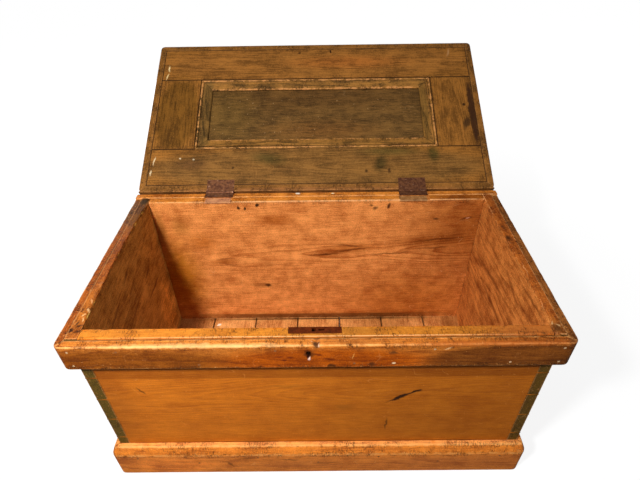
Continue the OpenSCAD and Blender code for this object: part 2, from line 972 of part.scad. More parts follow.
module moulding_pin() {
    head_h = 0.45 * panel_depth;
    translate([0, 0, -head_h]) cylinder(h = head_h + 0.8 * panel_t, r = moulding_pin_r);
}

module moulding_pins() {
    color(iron) opened() moulding_pin_spots() moulding_pin();
}

// The rim: four mitred strips round the lid's frame, over the skirt and batten
module rim_piece(side) {
    t = side == "back" ? batten_t : skirt_t;
    color(olive_pine) opened() difference() {
        band_piece(side, case_w, case_d, skirt_t, skirt_t, batten_t, lid_z, lid_t, rim_corner_r)
            band_section(t, lid_t, rim_edge_r);
        rim_nails_in(side);
        if (side == "back") {
            for (sx = [-1, 1]) lid_mortise(sx);
            lid_screw_spots() screw();
        }
    }
}

module rim_nails_in(side) {
    t = side == "back" ? batten_t : skirt_t;
    nails_on(side, case_w, case_d, t, is_long(side) ? rim_spots : rim_side_spots);
}

module rim_front() {
    rim_piece("front");
}

module rim_back() {
    rim_piece("back");
}

module rim_left() {
    rim_piece("left");
}

module rim_right() {
    rim_piece("right");
}

module rim_nails() {
    color(iron) opened() for (side = ["front", "back", "left", "right"]) rim_nails_in(side);
}

front_board();
back_board();
left_board();
right_board();
for (i = [1:floor_boards]) floor_board(i);
skirt_front();
skirt_left();
skirt_right();
hinge_batten();
plinth_front();
plinth_back();
plinth_left();
plinth_right();
skirt_nails();
plinth_nails();
batten_nails();
floor_nails();
lock_plate();
lock_cap();
key_pin();
bolt_stumps();
lock_screws();
lock_bolt();
bolt_spring();
left_case_leaf();
right_case_leaf();
left_lid_leaf();
right_lid_leaf();
left_hinge_pin();
right_hinge_pin();
case_leaf_screws();
lid_leaf_screws();
lid_front_rail();
lid_back_rail();
lid_left_stile();
lid_right_stile();
lid_panel();
moulding_front();
moulding_back();
moulding_left();
moulding_right();
moulding_pins();
rim_front();
rim_back();
rim_left();
rim_right();
rim_nails();
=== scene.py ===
"""The looks of the blanket chest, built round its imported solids. Lengths are in metres."""

import json
import math
from functools import partial

import bpy
import numpy as np
from mathutils import Matrix, Vector


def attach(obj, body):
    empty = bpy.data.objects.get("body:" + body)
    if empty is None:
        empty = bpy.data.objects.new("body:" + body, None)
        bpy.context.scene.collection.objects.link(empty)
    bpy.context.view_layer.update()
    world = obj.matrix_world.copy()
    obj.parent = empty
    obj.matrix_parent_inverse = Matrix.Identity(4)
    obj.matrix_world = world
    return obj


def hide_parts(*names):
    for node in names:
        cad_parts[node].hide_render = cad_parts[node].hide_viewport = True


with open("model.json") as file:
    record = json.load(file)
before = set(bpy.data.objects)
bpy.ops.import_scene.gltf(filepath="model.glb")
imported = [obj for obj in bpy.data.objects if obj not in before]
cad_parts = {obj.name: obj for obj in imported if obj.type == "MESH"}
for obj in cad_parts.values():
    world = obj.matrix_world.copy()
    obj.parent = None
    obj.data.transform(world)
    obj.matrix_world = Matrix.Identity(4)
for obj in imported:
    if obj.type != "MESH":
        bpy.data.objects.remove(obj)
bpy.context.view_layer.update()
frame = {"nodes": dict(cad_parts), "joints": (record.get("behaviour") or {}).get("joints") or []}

MM = 0.001

# The wood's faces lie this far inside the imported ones, so that nail heads and iron sit proud
SKIN = 0.2 * MM

# Distances from an edge at which every board has grid lines, to carry its rounding
BANDS = np.array([0, 0.4, 0.9, 1.6, 2.6, 4.2, 6.5, 10]) * MM

LID_HINGE = next(j for j in frame["joints"] if j["name"] == "lid_hinge")
HINGE_AT = np.array(LID_HINGE["pos_m"])
OPEN_ANGLE = LID_HINGE["range_deg"][1]
X, Y, Z = 0, 1, 2


def swing(points, degrees):
    """Points turned by an angle about the hinge line, which runs along X."""
    turn = math.radians(degrees)
    y, z = points[:, 1] - HINGE_AT[1], points[:, 2] - HINGE_AT[2]
    return np.stack([
        points[:, 0],
        HINGE_AT[1] + y * math.cos(turn) - z * math.sin(turn),
        HINGE_AT[2] + y * math.sin(turn) + z * math.cos(turn),
    ], 1)


def points_of(mesh):
    """A mesh's points as one array."""
    points = np.empty(len(mesh.vertices) * 3, np.float32)
    mesh.vertices.foreach_get("co", points)
    return points.reshape(-1, 3).astype(float)


def new_mesh(name, points, faces):
    """A mesh of points and lists of corners."""
    mesh = bpy.data.meshes.new(name)
    mesh.from_pydata(points.tolist(), [], faces)
    return mesh


def new_object(name, data):
    """An object of a mesh, lamp or camera, linked to the scene."""
    obj = bpy.data.objects.new(name, data)
    bpy.context.scene.collection.objects.link(obj)
    return obj


def node_box(name, shut=False):
    """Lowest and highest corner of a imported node; shut turns the open lid down first."""
    points = points_of(frame["nodes"][name].data)
    if shut:
        points = swing(points, OPEN_ANGLE)
    return points.min(0), points.max(0)


# Sizes that the pieces share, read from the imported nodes
case_lo, case_hi = node_box("left_board")
case_half_w, case_half_d = -case_lo[0], -case_lo[1]
case_base, case_top = case_lo[2], case_hi[2]
board_t = case_hi[0] - case_lo[0]
inner_half_w, inner_half_d = case_half_w - board_t, case_half_d - board_t
floor_gap = node_box("floor_board_2")[0][0] - node_box("floor_board_1")[1][0]
opening_half_w = -node_box("moulding_left", shut=True)[0][0]
opening_half_d = -node_box("moulding_front", shut=True)[0][1]
panel_z = node_box("lid_panel", shut=True)[0][2]


def lines(low, high, step, extra=()):
    """Grid places from low to high: even steps, finer ones near both ends, and extra ones."""
    bands = BANDS[BANDS < 0.49 * (high - low)]
    count = max(1, round((high - low - 2 * bands[-1]) / step))
    even = np.linspace(low + bands[-1], high - bands[-1], count + 1)
    extra = np.array([e for e in extra if low < e < high])
    places = np.unique(np.round(np.concatenate([low + bands, high - bands, even, extra]), 7))
    return places[np.append(True, np.diff(places) > 0.05 * MM)]


def box_shell(xs, ys, zs):
    """Points and quads of a closed box: each grid place that lies on one of the six sides."""
    counts = (len(xs), len(ys), len(zs))
    sheets = [(axis, end, tuple(end if a == axis else slice(None) for a in range(3)))
              for axis in range(3) for end in (0, -1)]
    outside = np.zeros(counts, bool)
    for axis, end, cut in sheets:
        outside[cut] = True
    number = np.full(counts, -1)
    number[outside] = np.arange(outside.sum())
    i, j, k = np.nonzero(outside)
    quads = []
    for axis, end, cut in sheets:
        sheet = number[cut]
        side = np.stack([sheet[:-1, :-1], sheet[1:, :-1], sheet[1:, 1:], sheet[:-1, 1:]], -1)
        side = side.reshape(-1, 4)
        quads.append(side if (end == -1) == (axis != 1) else side[:, ::-1])
    return np.stack([xs[i], ys[j], zs[k]], 1), np.concatenate(quads)


def rounded(points, low, high, radius):
    """The nearest point of the box shrunk by the radius, plus the radius outwards from it."""
    radius = np.broadcast_to(radius, len(points))[:, None]
    core = np.clip(points, low + radius, high - radius)
    arm = points - core
    arm /= np.maximum(np.linalg.norm(arm, axis=1, keepdims=True), 1e-9)
    return core + arm * radius, arm


WAVE_COUNT = 10


def waves(points, size, seed):
    """An uneven field of about -1 to 1: the mean of sine waves in random directions."""
    rng = np.random.default_rng(seed)
    ways = rng.normal(size=(WAVE_COUNT, 3))
    ways *= 2 * np.pi / size * rng.uniform(0.6, 1.7, (WAVE_COUNT, 1)) / np.linalg.norm(
        ways, axis=1, keepdims=True)
    return 2 * np.sin(points @ ways.T + rng.uniform(0, 2 * np.pi, WAVE_COUNT)).mean(1)


def sunk(points, out, depth, size, seed):
    """Points moved inwards unevenly: by the depth times half of one plus the waves."""
    return points - out * (depth * (0.5 + 0.5 * waves(points, size, seed)).clip(0))[:, None]


def dented(points, dents):
    """Points inside an ellipsoid move by its push times (1 - distance squared) squared."""
    for centre, radii, push in dents:
        near = (((points - np.array(centre)) / np.array(radii)) ** 2).sum(1)
        points = points + (np.clip(1 - near, 0, 1) ** 2)[:, None] * np.array(push)
    return points


def dent(centre, radii, push):
    """A list of one dent, from its measures in mm."""
    return [tuple(np.array(v) * MM for v in (centre, radii, push))]


def edge_chips(start, end, inward, count, seed, longest=14 * MM, deepest=1.6 * MM):
    """Dents at random places along an edge, as centre, radii and push."""
    rng = np.random.default_rng(seed)
    start, end, inward = (np.array(v, float) for v in (start, end, inward))
    way = np.abs(end - start) / np.linalg.norm(end - start)
    found = []
    for share, size in rng.uniform(0, 1, (count, 2)):
        length = longest * (0.25 + 0.75 * size ** 2)
        radii = 4 * MM + way * (length - 2 * MM)
        found.append((start + (end - start) * share, radii, inward * deepest * (0.3 + 0.7 * size)))
    return found


def board(low, high, radius, step, extra=((), (), ()), dents=(), *, seed):
    """A sawn board: a box with rounded arrises and dents, its faces hollowed a little."""
    low, high = np.array(low) + SKIN, np.array(high) - SKIN
    points, quads = box_shell(*(
        lines(low[i], high[i], step[i] * MM, extra[i]) for i in range(3)))
    size = radius(points) if callable(radius) else radius
    points, out = rounded(points, low, high, size)
    return dented(sunk(points, out, 0.15 * MM, 60 * MM, seed), dents), quads


# Each side of the chest: the axis that it runs along, and which way is outwards
SIDES = {"front": (X, -1), "back": (X, 1), "left": (Y, -1), "right": (Y, 1)}


def base_and_reach(side):
    """How far out the case's face lies on a side, and half the face's length."""
    halves = case_half_w, case_half_d
    axis = SIDES[side][0]
    return halves[1 - axis], halves[axis]


def strip_size(node, shut=False):
    """A front strip's thickness, and its lowest and highest Z."""
    low, high = node_box(node, shut)
    return -low[1] - case_half_d, low[2], high[2]


def outer_corner(thick, radius):
    """Half the width and depth round strips of this thickness, and their corners' radius."""
    return case_half_w + thick, case_half_d + thick, radius


def strip_places(side, base, along, out, up):
    """Places of points given along a side, outwards from its base face, and upwards."""
    axis, sign = SIDES[side]
    across = sign * (base + out)
    return np.stack([along, across, up] if axis == X else [across, along, up], 1)


def round_plan(points, half_w, half_d, radius):
    """In each outer corner's square, points move in to a quarter disc: scaled by max / hypot."""
    centre = np.array([half_w - radius, half_d - radius])
    over = np.abs(points[:, :2]) - centre
    corner = (over > 0).all(1)
    reach = over[corner]
    scale = reach.max(1) / np.maximum(np.hypot(reach[:, 0], reach[:, 1]), 1e-9)
    points = points.copy()
    points[corner, :2] = np.sign(points[corner, :2]) * (centre + reach * scale[:, None])
    return points


def strip(side, base, thick, low, high, start, end, radius, tall_step=10, section=None,
          corner=None, dents=(), *, seed):
    """A strip round the case or lid: a rounded section carried along one side, where start
    and end give each end's place as (distance, growth per unit outwards) for its mitre."""
    length = start[0] + end[0]
    points, quads = box_shell(lines(0, length, 5 * MM), lines(0, thick - SKIN, 6 * MM),
                              lines(low + SKIN, high - SKIN, tall_step * MM))
    inner = np.array([-np.inf, 0, low + SKIN])
    outer = np.array([np.inf, thick - SKIN, high - SKIN])
    size = np.where(points[:, 1] < 0.5 * thick, min(radius, 0.6 * MM), radius)
    points, arm = rounded(points, inner, outer, size)
    points = sunk(points, arm, 0.2 * MM, 50 * MM, seed)
    t, out, up = points[:, 0] / length, points[:, 1], points[:, 2]
    if section is not None:
        out = out * section(up)
    first, last = -(start[0] + start[1] * out) + SKIN, end[0] + end[1] * out - SKIN
    points = strip_places(side, base, first + (last - first) * t, out, up)
    if corner is not None:
        points = round_plan(points, *corner)
    return dented(points, dents), quads


def own_strip(side, base, low, start):
    """Board measures of a strip's points: along its side, upwards, and outwards."""
    axis, sign = SIDES[side]
    return lambda points: np.stack(
        [points[:, axis] + start[0], points[:, Z] - low, sign * points[:, 1 - axis] - base], 1)


def mitre_room(start, end):
    """How far a strip's points are from its two ends, which lean with the depth."""
    return lambda own: np.minimum(
        own[:, 0] + start[1] * own[:, 2], start[0] + end[0] + end[1] * own[:, 2] - own[:, 0])


def swept(profile, side, base, top, reach):
    """A moulding: a closed profile of (inwards, height) points carried along one side of the
    opening, between end planes at the reach that lean inwards with the profile."""
    inwards, height = profile[:, 0], profile[:, 1]
    t = lines(0, 2 * reach, 6 * MM)[:, None] / (2 * reach)
    count = len(t) - 1
    first, last = -(reach - inwards) + SKIN, reach - inwards - SKIN
    along = first + (last - first) * t
    out = np.broadcast_to(-inwards, along.shape)
    up = np.broadcast_to(top - height, along.shape)
    points = strip_places(side, base, along.ravel(), out.ravel(), up.ravel())
    ring = np.arange(len(profile))
    steps = len(profile) * np.arange(count)[:, None]
    here, after = ring + steps, np.roll(ring, -1) + steps
    quads = np.stack([here, after, after + len(profile), here + len(profile)], -1).reshape(-1, 4)
    return points, quads, [ring[::-1].tolist(), (ring + len(profile) * count).tolist()]


def facing_out(points, quads, caps=()):
    """All faces as lists, turned round if the volume that they enclose comes out negative.
    The volume is six times the sum of each triangle's corner dotted with the cross product
    of the other two."""
    a, b, c, d = (points[quads[:, i]] for i in range(4))
    volume = (a * np.cross(b, c)).sum() + (a * np.cross(c, d)).sum()
    for cap in caps:
        rim = points[list(cap)]
        volume += (rim[0] * np.cross(rim[1:-1], rim[2:])).sum()
    faces = quads.tolist() + [list(cap) for cap in caps]
    return faces if volume > 0 else [face[::-1] for face in faces]


def put_attribute(mesh, name, kind, values):
    """Writes one value or vector for each point of a mesh."""
    layer = mesh.attributes.new(name, kind, "POINT")
    field = "vector" if kind == "FLOAT_VECTOR" else "value"
    layer.data.foreach_set(field, np.asarray(values, np.float32).ravel())


def describe_wood(mesh, points, own, size, heart, seed, room=None, dirt=None, arris=None):
    """Gives each point what the wood's finish needs: its place, its grain measures, its
    distance from the tree's heart, and its wear and shade: distance to an arris, dirt with
    painted shade in creases, end grain."""
    shift = np.random.default_rng(seed).uniform(0, 4, 3)
    beside = own[:, 1] - heart[0] - heart[2] * own[:, 0]
    below = own[:, 2] - heart[1] - heart[3] * own[:, 0]
    gap = np.minimum(own, size - own).clip(0)
    soil_and_shade = np.zeros(len(own)) if dirt is None else dirt(own)
    if room is not None:
        gap[:, 0] = room(own).clip(0)
        soil_and_shade = np.maximum(soil_and_shade, 0.8 * (1 - gap[:, 0] / (1.4 * MM)).clip(0, 1))
    edge = np.sort(gap, 1)[:, 1] if arris is None else arris(own)
    end = 0 * soil_and_shade if room else ((1 * MM - gap[:, 0]) / (0.4 * MM)).clip(0, 1)
    put_attribute(mesh, "place", "FLOAT_VECTOR", points)
    put_attribute(mesh, "grain", "FLOAT_VECTOR", own + shift)
    put_attribute(mesh, "heart", "FLOAT", np.hypot(beside, below))
    put_attribute(mesh, "wear_and_shade", "FLOAT_VECTOR", np.stack([edge, soil_and_shade, end], 1))


def carve(obj, cutters):
    """Takes closed cutter meshes out of a piece with exact Booleans and keeps the result."""
    for cutter in cutters:
        mesh = new_mesh("cutter", cutter[0], facing_out(*cutter))
        tool = new_object("cutter", mesh)
        cut = obj.modifiers.new("cut", "BOOLEAN")
        cut.operation, cut.solver, cut.object = "DIFFERENCE", "EXACT", tool
        bpy.context.view_layer.update()
        shaped = obj.evaluated_get(bpy.context.evaluated_depsgraph_get())
        old, obj.data = obj.data, bpy.data.meshes.new_from_object(shaped)
        obj.modifiers.clear()
        bpy.data.meshes.remove(old)
        bpy.data.objects.remove(tool)
        bpy.data.meshes.remove(mesh)


# Faces that meet at less than this are shaded as one curve
SMOOTH_UNDER = math.radians(42)


def add_wood(node, body, slot, material, shape, own_of, size, heart, seed, cutters=(),
             others=(), **wear_and_shade):
    """One wooden piece: makes its mesh, cuts it, describes its grain, and puts it on its
    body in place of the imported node. Others are more closed shells of the same piece."""
    points, faces = shape[0], facing_out(*shape)
    for more in others:
        faces += [[i + len(points) for i in face] for face in facing_out(*more)]
        points = np.concatenate([points, more[0]])
    name = node + "_wood"
    mesh = new_mesh(name, points, faces)
    obj = new_object(name, mesh)
    if cutters:
        carve(obj, cutters)
        mesh = obj.data
        mesh.name = name
        points = points_of(mesh)
    describe_wood(mesh, points, own_of(points), np.array(size), heart, seed, **wear_and_shade)
    if body == "lid":
        opened = swing(points, -OPEN_ANGLE).astype(np.float32)
        mesh.vertices.foreach_set("co", opened.ravel())
        mesh.update()
    mesh.polygons.foreach_set("use_smooth", np.ones(len(mesh.polygons), bool))
    mesh.set_sharp_from_angle(angle=SMOOTH_UNDER)
    mesh.materials.clear()
    mesh.materials.append(material)
    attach(obj, body)
    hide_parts(node)


def add_board(node, body, slot, material, shape, low, high, axes, heart, seed, **more):
    """A wooden piece whose own measures start at its low corner and follow its axes: along
    the grain, across it, and in depth."""
    axes = list(axes)
    add_wood(node, body, slot, material, shape, lambda points: (points - low)[:, axes],
             (high - low)[axes], heart, seed, **more)


def add_strip(node, body, slot, material, run, shaping, heart, seed, **more):
    """A mitred strip. Its run is its side, base, thickness, lowest and highest Z and its two
    ends, and its shaping is what else the strip takes."""
    side, base, thick, low, high, start, end = run
    add_wood(node, body, slot, material, strip(*run, **shaping),
             own_strip(side, base, low, start), (start[0] + end[0], high - low, thick), heart,
             seed, room=mitre_room(start, end), **more)


def joined(operation):
    """A method that joins two values in one Math node."""
    return lambda one, other: one.math(operation, one, other)


class Term:
    """A shader socket that takes part in sums: every operator adds one Math node."""

    def __init__(self, paint, socket):
        self.paint, self.socket = paint, socket

    def math(self, operation, *values):
        return self.paint.node("Math", {"operation": operation}, dict(enumerate(values)))

    def __rsub__(self, other):
        return self.math("SUBTRACT", other, self)

    def off(self, middle):
        """How far the value lies from the middle, up or down."""
        return self.math("ABSOLUTE", self - middle)

    __add__ = __radd__ = joined("ADD")
    __mul__ = __rmul__ = joined("MULTIPLY")
    __sub__, __truediv__, __pow__ = joined("SUBTRACT"), joined("DIVIDE"), joined("POWER")


class Paint:
    """The nodes of one material or world."""

    def __init__(self, owner):
        owner.use_nodes = True
        self.owner, self.tree = owner, owner.node_tree
        self.tree.nodes.clear()

    def node(self, kind, settings=None, sockets=None, output=0):
        """Adds a node: first its settings, then its sockets' values or links."""
        made = self.tree.nodes.new("ShaderNode" + kind)
        for key, value in (settings or {}).items():
            setattr(made, key, value)
        for key, value in (sockets or {}).items():
            if isinstance(value, Term):
                self.tree.links.new(value.socket, made.inputs[key])
            else:
                made.inputs[key].default_value = value
        return Term(self, made.outputs[output]) if made.outputs else None

    def vector(self, operation, *values, output=0):
        return self.node("VectorMath", {"operation": operation},
                         dict(enumerate(values)), output)

    def attribute(self, name, output="Vector"):
        return self.node("Attribute", {"attribute_name": name}, output=output)

    def own_place(self):
        return self.node("TexCoord", output="Object")

    def split(self, vector):
        node = self.node("SeparateXYZ", {}, {0: vector}).socket.node
        return [Term(self, socket) for socket in node.outputs]

    def noise(self, vector, scale, detail=3.0, rough=0.5, output=0):
        """Noise about 1 / scale long, with one scale or one for each direction."""
        scale = scale if isinstance(scale, tuple) else (scale,) * 3
        return self.node("TexNoise", {"noise_dimensions": "3D"}, {
            "Vector": self.vector("MULTIPLY", vector, scale), "Scale": 1.0, "Detail": detail,
            "Roughness": rough}, output)

    def ease(self, value, low, high, start=0.0, end=1.0):
        """A smooth step of a value from low to high, clamped to start and end."""
        return self.node("MapRange", {"interpolation_type": "SMOOTHSTEP"},
                         {0: value, 1: low, 2: high, 3: start, 4: end})

    def clamp(self, value):
        return self.node("Clamp", {}, {0: value, 1: 0.0, 2: 1.0})

    def most(self, *values):
        result = values[0]
        for value in values[1:]:
            result = result.math("MAXIMUM", result, value)
        return result

    def mix(self, factor, first, second, blend="MIX"):
        """Two colours mixed by a factor."""
        return self.node("Mix", {"data_type": "RGBA", "blend_type": blend},
                         {0: factor, 6: first, 7: second}, 2)

    def within(self, place, centre, radii, turn):
        """A place measured from a centre, turned, and divided by the radii."""
        return self.node("Mapping", {"vector_type": "TEXTURE"}, {
            0: place, 1: centre, 2: [math.radians(a) for a in turn], 3: radii})

    def spot(self, *where, soft):
        """1 inside an ellipsoid of these radii, easing to 0 at its rim."""
        far = self.vector("LENGTH", self.within(*where), output=1)
        return self.ease(far, soft, 1.0, 1.0, 0.0)

    def slab(self, *where, soft):
        """1 inside a box of these half sizes, easing to 0 at its faces."""
        far = self.vector("ABSOLUTE", self.within(*where))
        return self.ease(self.most(*self.split(far)), soft, 1.0, 1.0, 0.0)

    def lay(self, colour, mask, tint, strength):
        """A tint laid over a colour through a mask: 3 numbers multiply, and 4 cover."""
        if len(tint) == 3:
            tint = self.mix(1.0, colour, (*tint, 1), "MULTIPLY")
        return self.mix(mask * strength, colour, tint)

    def finish(self, colour, roughness, height, depth, metallic=0.0):
        """Ends the material in one Principled shader with a bump of the given depth."""
        bump = self.node("Bump", {}, {
            "Height": height, "Distance": depth, "Strength": 1.0})
        shader = self.node("BsdfPrincipled", {}, {
            "Base Color": colour, "Roughness": roughness, "Metallic": metallic,
            "Specular IOR Level": GLOSS, "Normal": bump})
        self.node("OutputMaterial", {}, {"Surface": shader})
        return self.owner


def tone(red, green, blue):
    """A colour written as on a screen, 0 to 255, as the linear colour that shaders take."""
    part = [c / 255 for c in (red, green, blue)]
    linear = [c / 12.92 if c <= 0.04045 else ((c + 0.055) / 1.055) ** 2.4 for c in part]
    return (*linear, 1.0)


GLOSS = 0.12
# The dark of grime and of end grain specks, also used for painted shade in creases
GRIME_AND_SHADE = tone(48, 26, 8)

# A half size in mm that takes in the whole chest
EVERYWHERE = 9000


def around(*rows, turn=(0, 0, 0)):
    """Spots or boxes of colour. A row is a tint, its strength and its softness, then the
    centre's X, Y and Z and the half sizes along them, in mm."""
    return [([v * MM for v in row[3:6]], [v * MM for v in row[6:]], turn, *row[:3])
            for row in rows]


def spots(axis, at, half, *rows):
    """Spots that all have one place and half size along an axis. Their rows leave it out,
    and may end in a lean in degrees, which rises to the right or backwards."""
    found = []
    for row in rows:
        *how, first, second, half_first, half_second, lean = (*row, 0)[:8]
        centre, sizes, turn = [first, second], [half_first, half_second], [0, 0, 0]
        centre.insert(axis, at)
        sizes.insert(axis, half)
        turn[axis] = -lean if axis == Y else lean
        found += around((*how, *centre, *sizes), turn=turn)
    return found


on_face = partial(spots, Y, 0, EVERYWHERE)  # faces that look along Y
on_back = partial(spots, Y, 221, 30)  # the inside of the back board
on_left = partial(spots, X, -451, 20)  # the inside of the left board
on_right = partial(spots, X, 451, 20)  # the inside of the right board
on_top = partial(spots, Z, 0, EVERYWHERE)  # faces that look up or down
on_rim = partial(spots, Z, 488, 8)  # the flat top of the case's boards
on_lid = partial(spots, Z, 488, 16)  # the inside of the closed lid's frame


def pine(name, pale, deep, end_tone=tone(80, 66, 20), worn=tone(226, 140, 66),
         ring_gap=5.5 * MM, ring_show=0.7, ring_reach=0.11, ring_wave=0.03, figure=1.0,
         streak=1.0, wear_show=0.4, wear_width=3 * MM, wear_break=4 * MM, grime_show=0.5,
         seam_show=0.0, crack_show=0.6, scratch_show=0.3, dust_show=0.3, zones=(), bands=(),
         marks=()):
    """Old varnished pine: year rings round the heart, fibres, clouds and blotches, dark end
    grain, broad zones of another tone, straight bands, rubbed arrises, scratches, grime in
    cracks and joints with painted shade in creases, marks, and pale dust. Some zones, bands
    and marks are painted shade, shadow and highlight."""
    paint = Paint(bpy.data.materials.new(name))
    place, grain = paint.attribute("place"), paint.attribute("grain")
    edge, dirt, end = paint.split(paint.attribute("wear_and_shade"))
    heart = paint.attribute("heart", "Fac")
    slow = paint.noise(grain, (2.5, 12, 12), 2.0)
    quick = paint.noise(grain, (9, 60, 60), 2.0)
    turns = (heart + (slow - 0.5) * ring_wave + (quick - 0.5) * 0.004) / ring_gap
    phase = turns.math("FRACT", turns)
    late = phase ** 2.5 * paint.ease(phase, 0.9, 1.0, 1.0, 0.0)
    rings = (late - 0.25) * paint.ease(heart + (slow - 0.5) * 0.08, ring_reach * 0.6,
                                       ring_reach * 1.3, ring_show, ring_show * 0.2)
    fine = paint.noise(grain, (30, 560, 560), 4.0, 0.7)
    coarse = paint.noise(grain, (6, 90, 90), 4.0, 0.6)
    cloud = paint.noise(grain, (9, 24, 24), 5.0, 0.65)
    speck = paint.noise(place, 380, 2.0, 0.6)
    blotch = paint.noise(place, 22, 5.0, 0.65)
    figures = ((fine - 0.5) * (2.2 * streak) + (coarse - 0.5) * (0.8 * streak)
               + (cloud - 0.5) * (1.2 * streak) + (speck - 0.5) * 1.4 + (blotch - 0.5) * 1.5)
    colour = paint.mix(paint.clamp(0.5 + rings + figures * figure), pale, deep)
    colour = paint.mix(end, colour, paint.mix(paint.ease(speck, 0.45, 0.8), end_tone, GRIME_AND_SHADE))
    shake = paint.noise(place, 60, 3.0, 0.6, 1)
    ragged = paint.vector("ADD", place, paint.vector(
        "MULTIPLY_ADD", shake, (0.012,) * 3, (-0.006,) * 3))
    for *where, tint, strength, soft in zones:
        colour = paint.lay(colour, paint.spot(ragged, *where, soft=soft), tint, strength)
    for *where, tint, strength, soft in bands:
        colour = paint.lay(colour, paint.slab(place, *where, soft=soft), tint, strength)
    nick = paint.noise(place, 70, 3.0, 0.65)
    rubbed = paint.ease(edge + (nick - 0.5) * wear_break, wear_width, 0.0) * wear_show
    fleck = paint.ease(paint.noise(place, 260, 2.0, 0.6), 0.6, 0.72)
    scratch = paint.ease(paint.noise(place, (13, 15, 17), 1.0).off(0.5), 0.006, 0.001)
    scratch = scratch * paint.ease(paint.noise(place, (31, 29, 33), 2.0), 0.56, 0.62)
    rubbed = paint.most(rubbed, fleck * paint.ease(edge, 16 * MM, 4 * MM) * crack_show * 0.7,
                        scratch * scratch_show)
    colour = paint.mix(paint.clamp(rubbed), colour, worn)
    near = paint.ease(edge + (nick - 0.5) * 20 * MM, 14 * MM, 8 * MM) * paint.ease(
        blotch, 0.44, 0.56)
    crack = paint.ease(paint.noise(grain, (230, 60, 60), 3.0, 0.6).off(0.5), 0.03, 0.008)
    seam = paint.ease(edge + (nick - 0.5) * 1 * MM, 2.6 * MM, 1.2 * MM)
    # Grime, cracks and dark seams, with the dirt and painted shade that the pieces carry
    soiled_and_shaded = paint.most(
        paint.ease(nick, 0.58, 0.7) * paint.ease(edge, 10 * MM, 1 * MM) * grime_show,
        crack * near * crack_show, seam * seam_show, dirt)
    colour = paint.mix(paint.clamp(soiled_and_shaded), colour, GRIME_AND_SHADE)
    for *where, tint, strength, soft in marks:
        colour = paint.lay(colour, paint.spot(ragged, *where, soft=soft), tint, strength)
    dust = paint.ease(paint.noise(place, 150, 2.0, 0.6), 0.69, 0.74)
    colour = paint.mix(dust * dust_show, colour, worn)
    rough = paint.clamp(0.55 + (cloud - 0.5) * 0.3 + (fine - 0.5) * 0.2 + rubbed * 0.1)
    height = fine * 0.6 + coarse * 0.5 + late * 0.4 + nick * 0.4 - crack * near * crack_show
    return paint.finish(colour, rough, height, 0.45 * MM)


def iron(name, dark, rust, bright, metallic=0.35, dull=()):
    """Rusty iron: brown scale in clouds and pits, with rubbed metal showing in places, and
    boxes in which it is duller."""
    paint = Paint(bpy.data.materials.new(name))
    place = paint.own_place()
    cloud = paint.noise(place, 130, 4.0, 0.6)
    pit = paint.noise(place, 600, 3.0, 0.7)
    rub = paint.noise(place, (75, 240, 240), 4.0, 0.65)
    colour = paint.mix(paint.ease(cloud, 0.35, 0.65), dark, rust)
    shine = paint.ease(rub, 0.6, 0.72)
    colour = paint.mix(shine, colour, bright)
    colour = paint.mix(paint.ease(pit, 0.55, 0.75) * 0.6, colour, tone(34, 20, 18))
    for *where, tint, strength, soft in dull:
        colour = paint.lay(colour, paint.slab(place, *where, soft=soft), tint, strength)
    rough = paint.clamp(0.55 + (pit - 0.5) * 0.4 - shine * 0.15)
    return paint.finish(colour, rough, pit * 0.6 + cloud * 0.6, 0.3 * MM,
                        paint.clamp(metallic + shine * 0.3))


DARK_SPOT = tone(42, 22, 10)

front_pine = pine(
    "front_pine", tone(233, 133, 33), tone(176, 88, 18), ring_show=0.35, figure=0.62, wear_show=0.12,
    worn=tone(240, 160, 78), crack_show=0.8, end_tone=tone(124, 90, 22),
    zones=on_face(
        ((0.76, 0.77, 0.7), 1, 0.3, 480, 250, 700, 400),
        ((0.78, 0.78, 0.85), 1, 0.1, -470, 260, 110, 300)
    ) + around(
        ((0.92, 1.12, 1.7), 1, 0.8, 0, -233, 490, 2000, 13, 6)
    ) + on_rim(
        ((0.8, 0.84, 1.0), 1, 0.3, 40, -233, 130, 40), ((0.85, 0.73, 1.3), 1, 0.3, 440, -233, 170, 40)),
    bands=around(
        # painted shadow: the dark band that the skirt casts on the front board below it
        (tone(84, 22, 0), 0.36, 0.97, 0, -245, 409, 600, 3, 50),
        (tone(50, 20, 4), 0.6, 0.3, 0, -245, 109, 600, 3, 3),
        # painted highlight, partly wear: a pale line along the front board's front top arris
        (tone(255, 200, 140), 0.65, 0.3, 0, -243.6, 488, 460, 1.3, 6)),
    marks=on_face(
        (DARK_SPOT, 0.9, 0.4, 183, 290, 50, 5, 34), (DARK_SPOT, 0.8, 0.3, 180, 287, 22, 7, 30),
        (DARK_SPOT, 0.9, 0.6, 212, 309, 16, 5, 24), (tone(96, 52, 12), 0.8, 0.3, 156, 182, 3, 34),
        (tone(110, 58, 16), 0.8, 0.3, -372, 318, 3, 20, 30),
        (tone(150, 88, 24), 0.4, 0.1, 60, 250, 40, 18), (tone(160, 92, 26), 0.4, 0.1, -60, 330, 60, 10)))
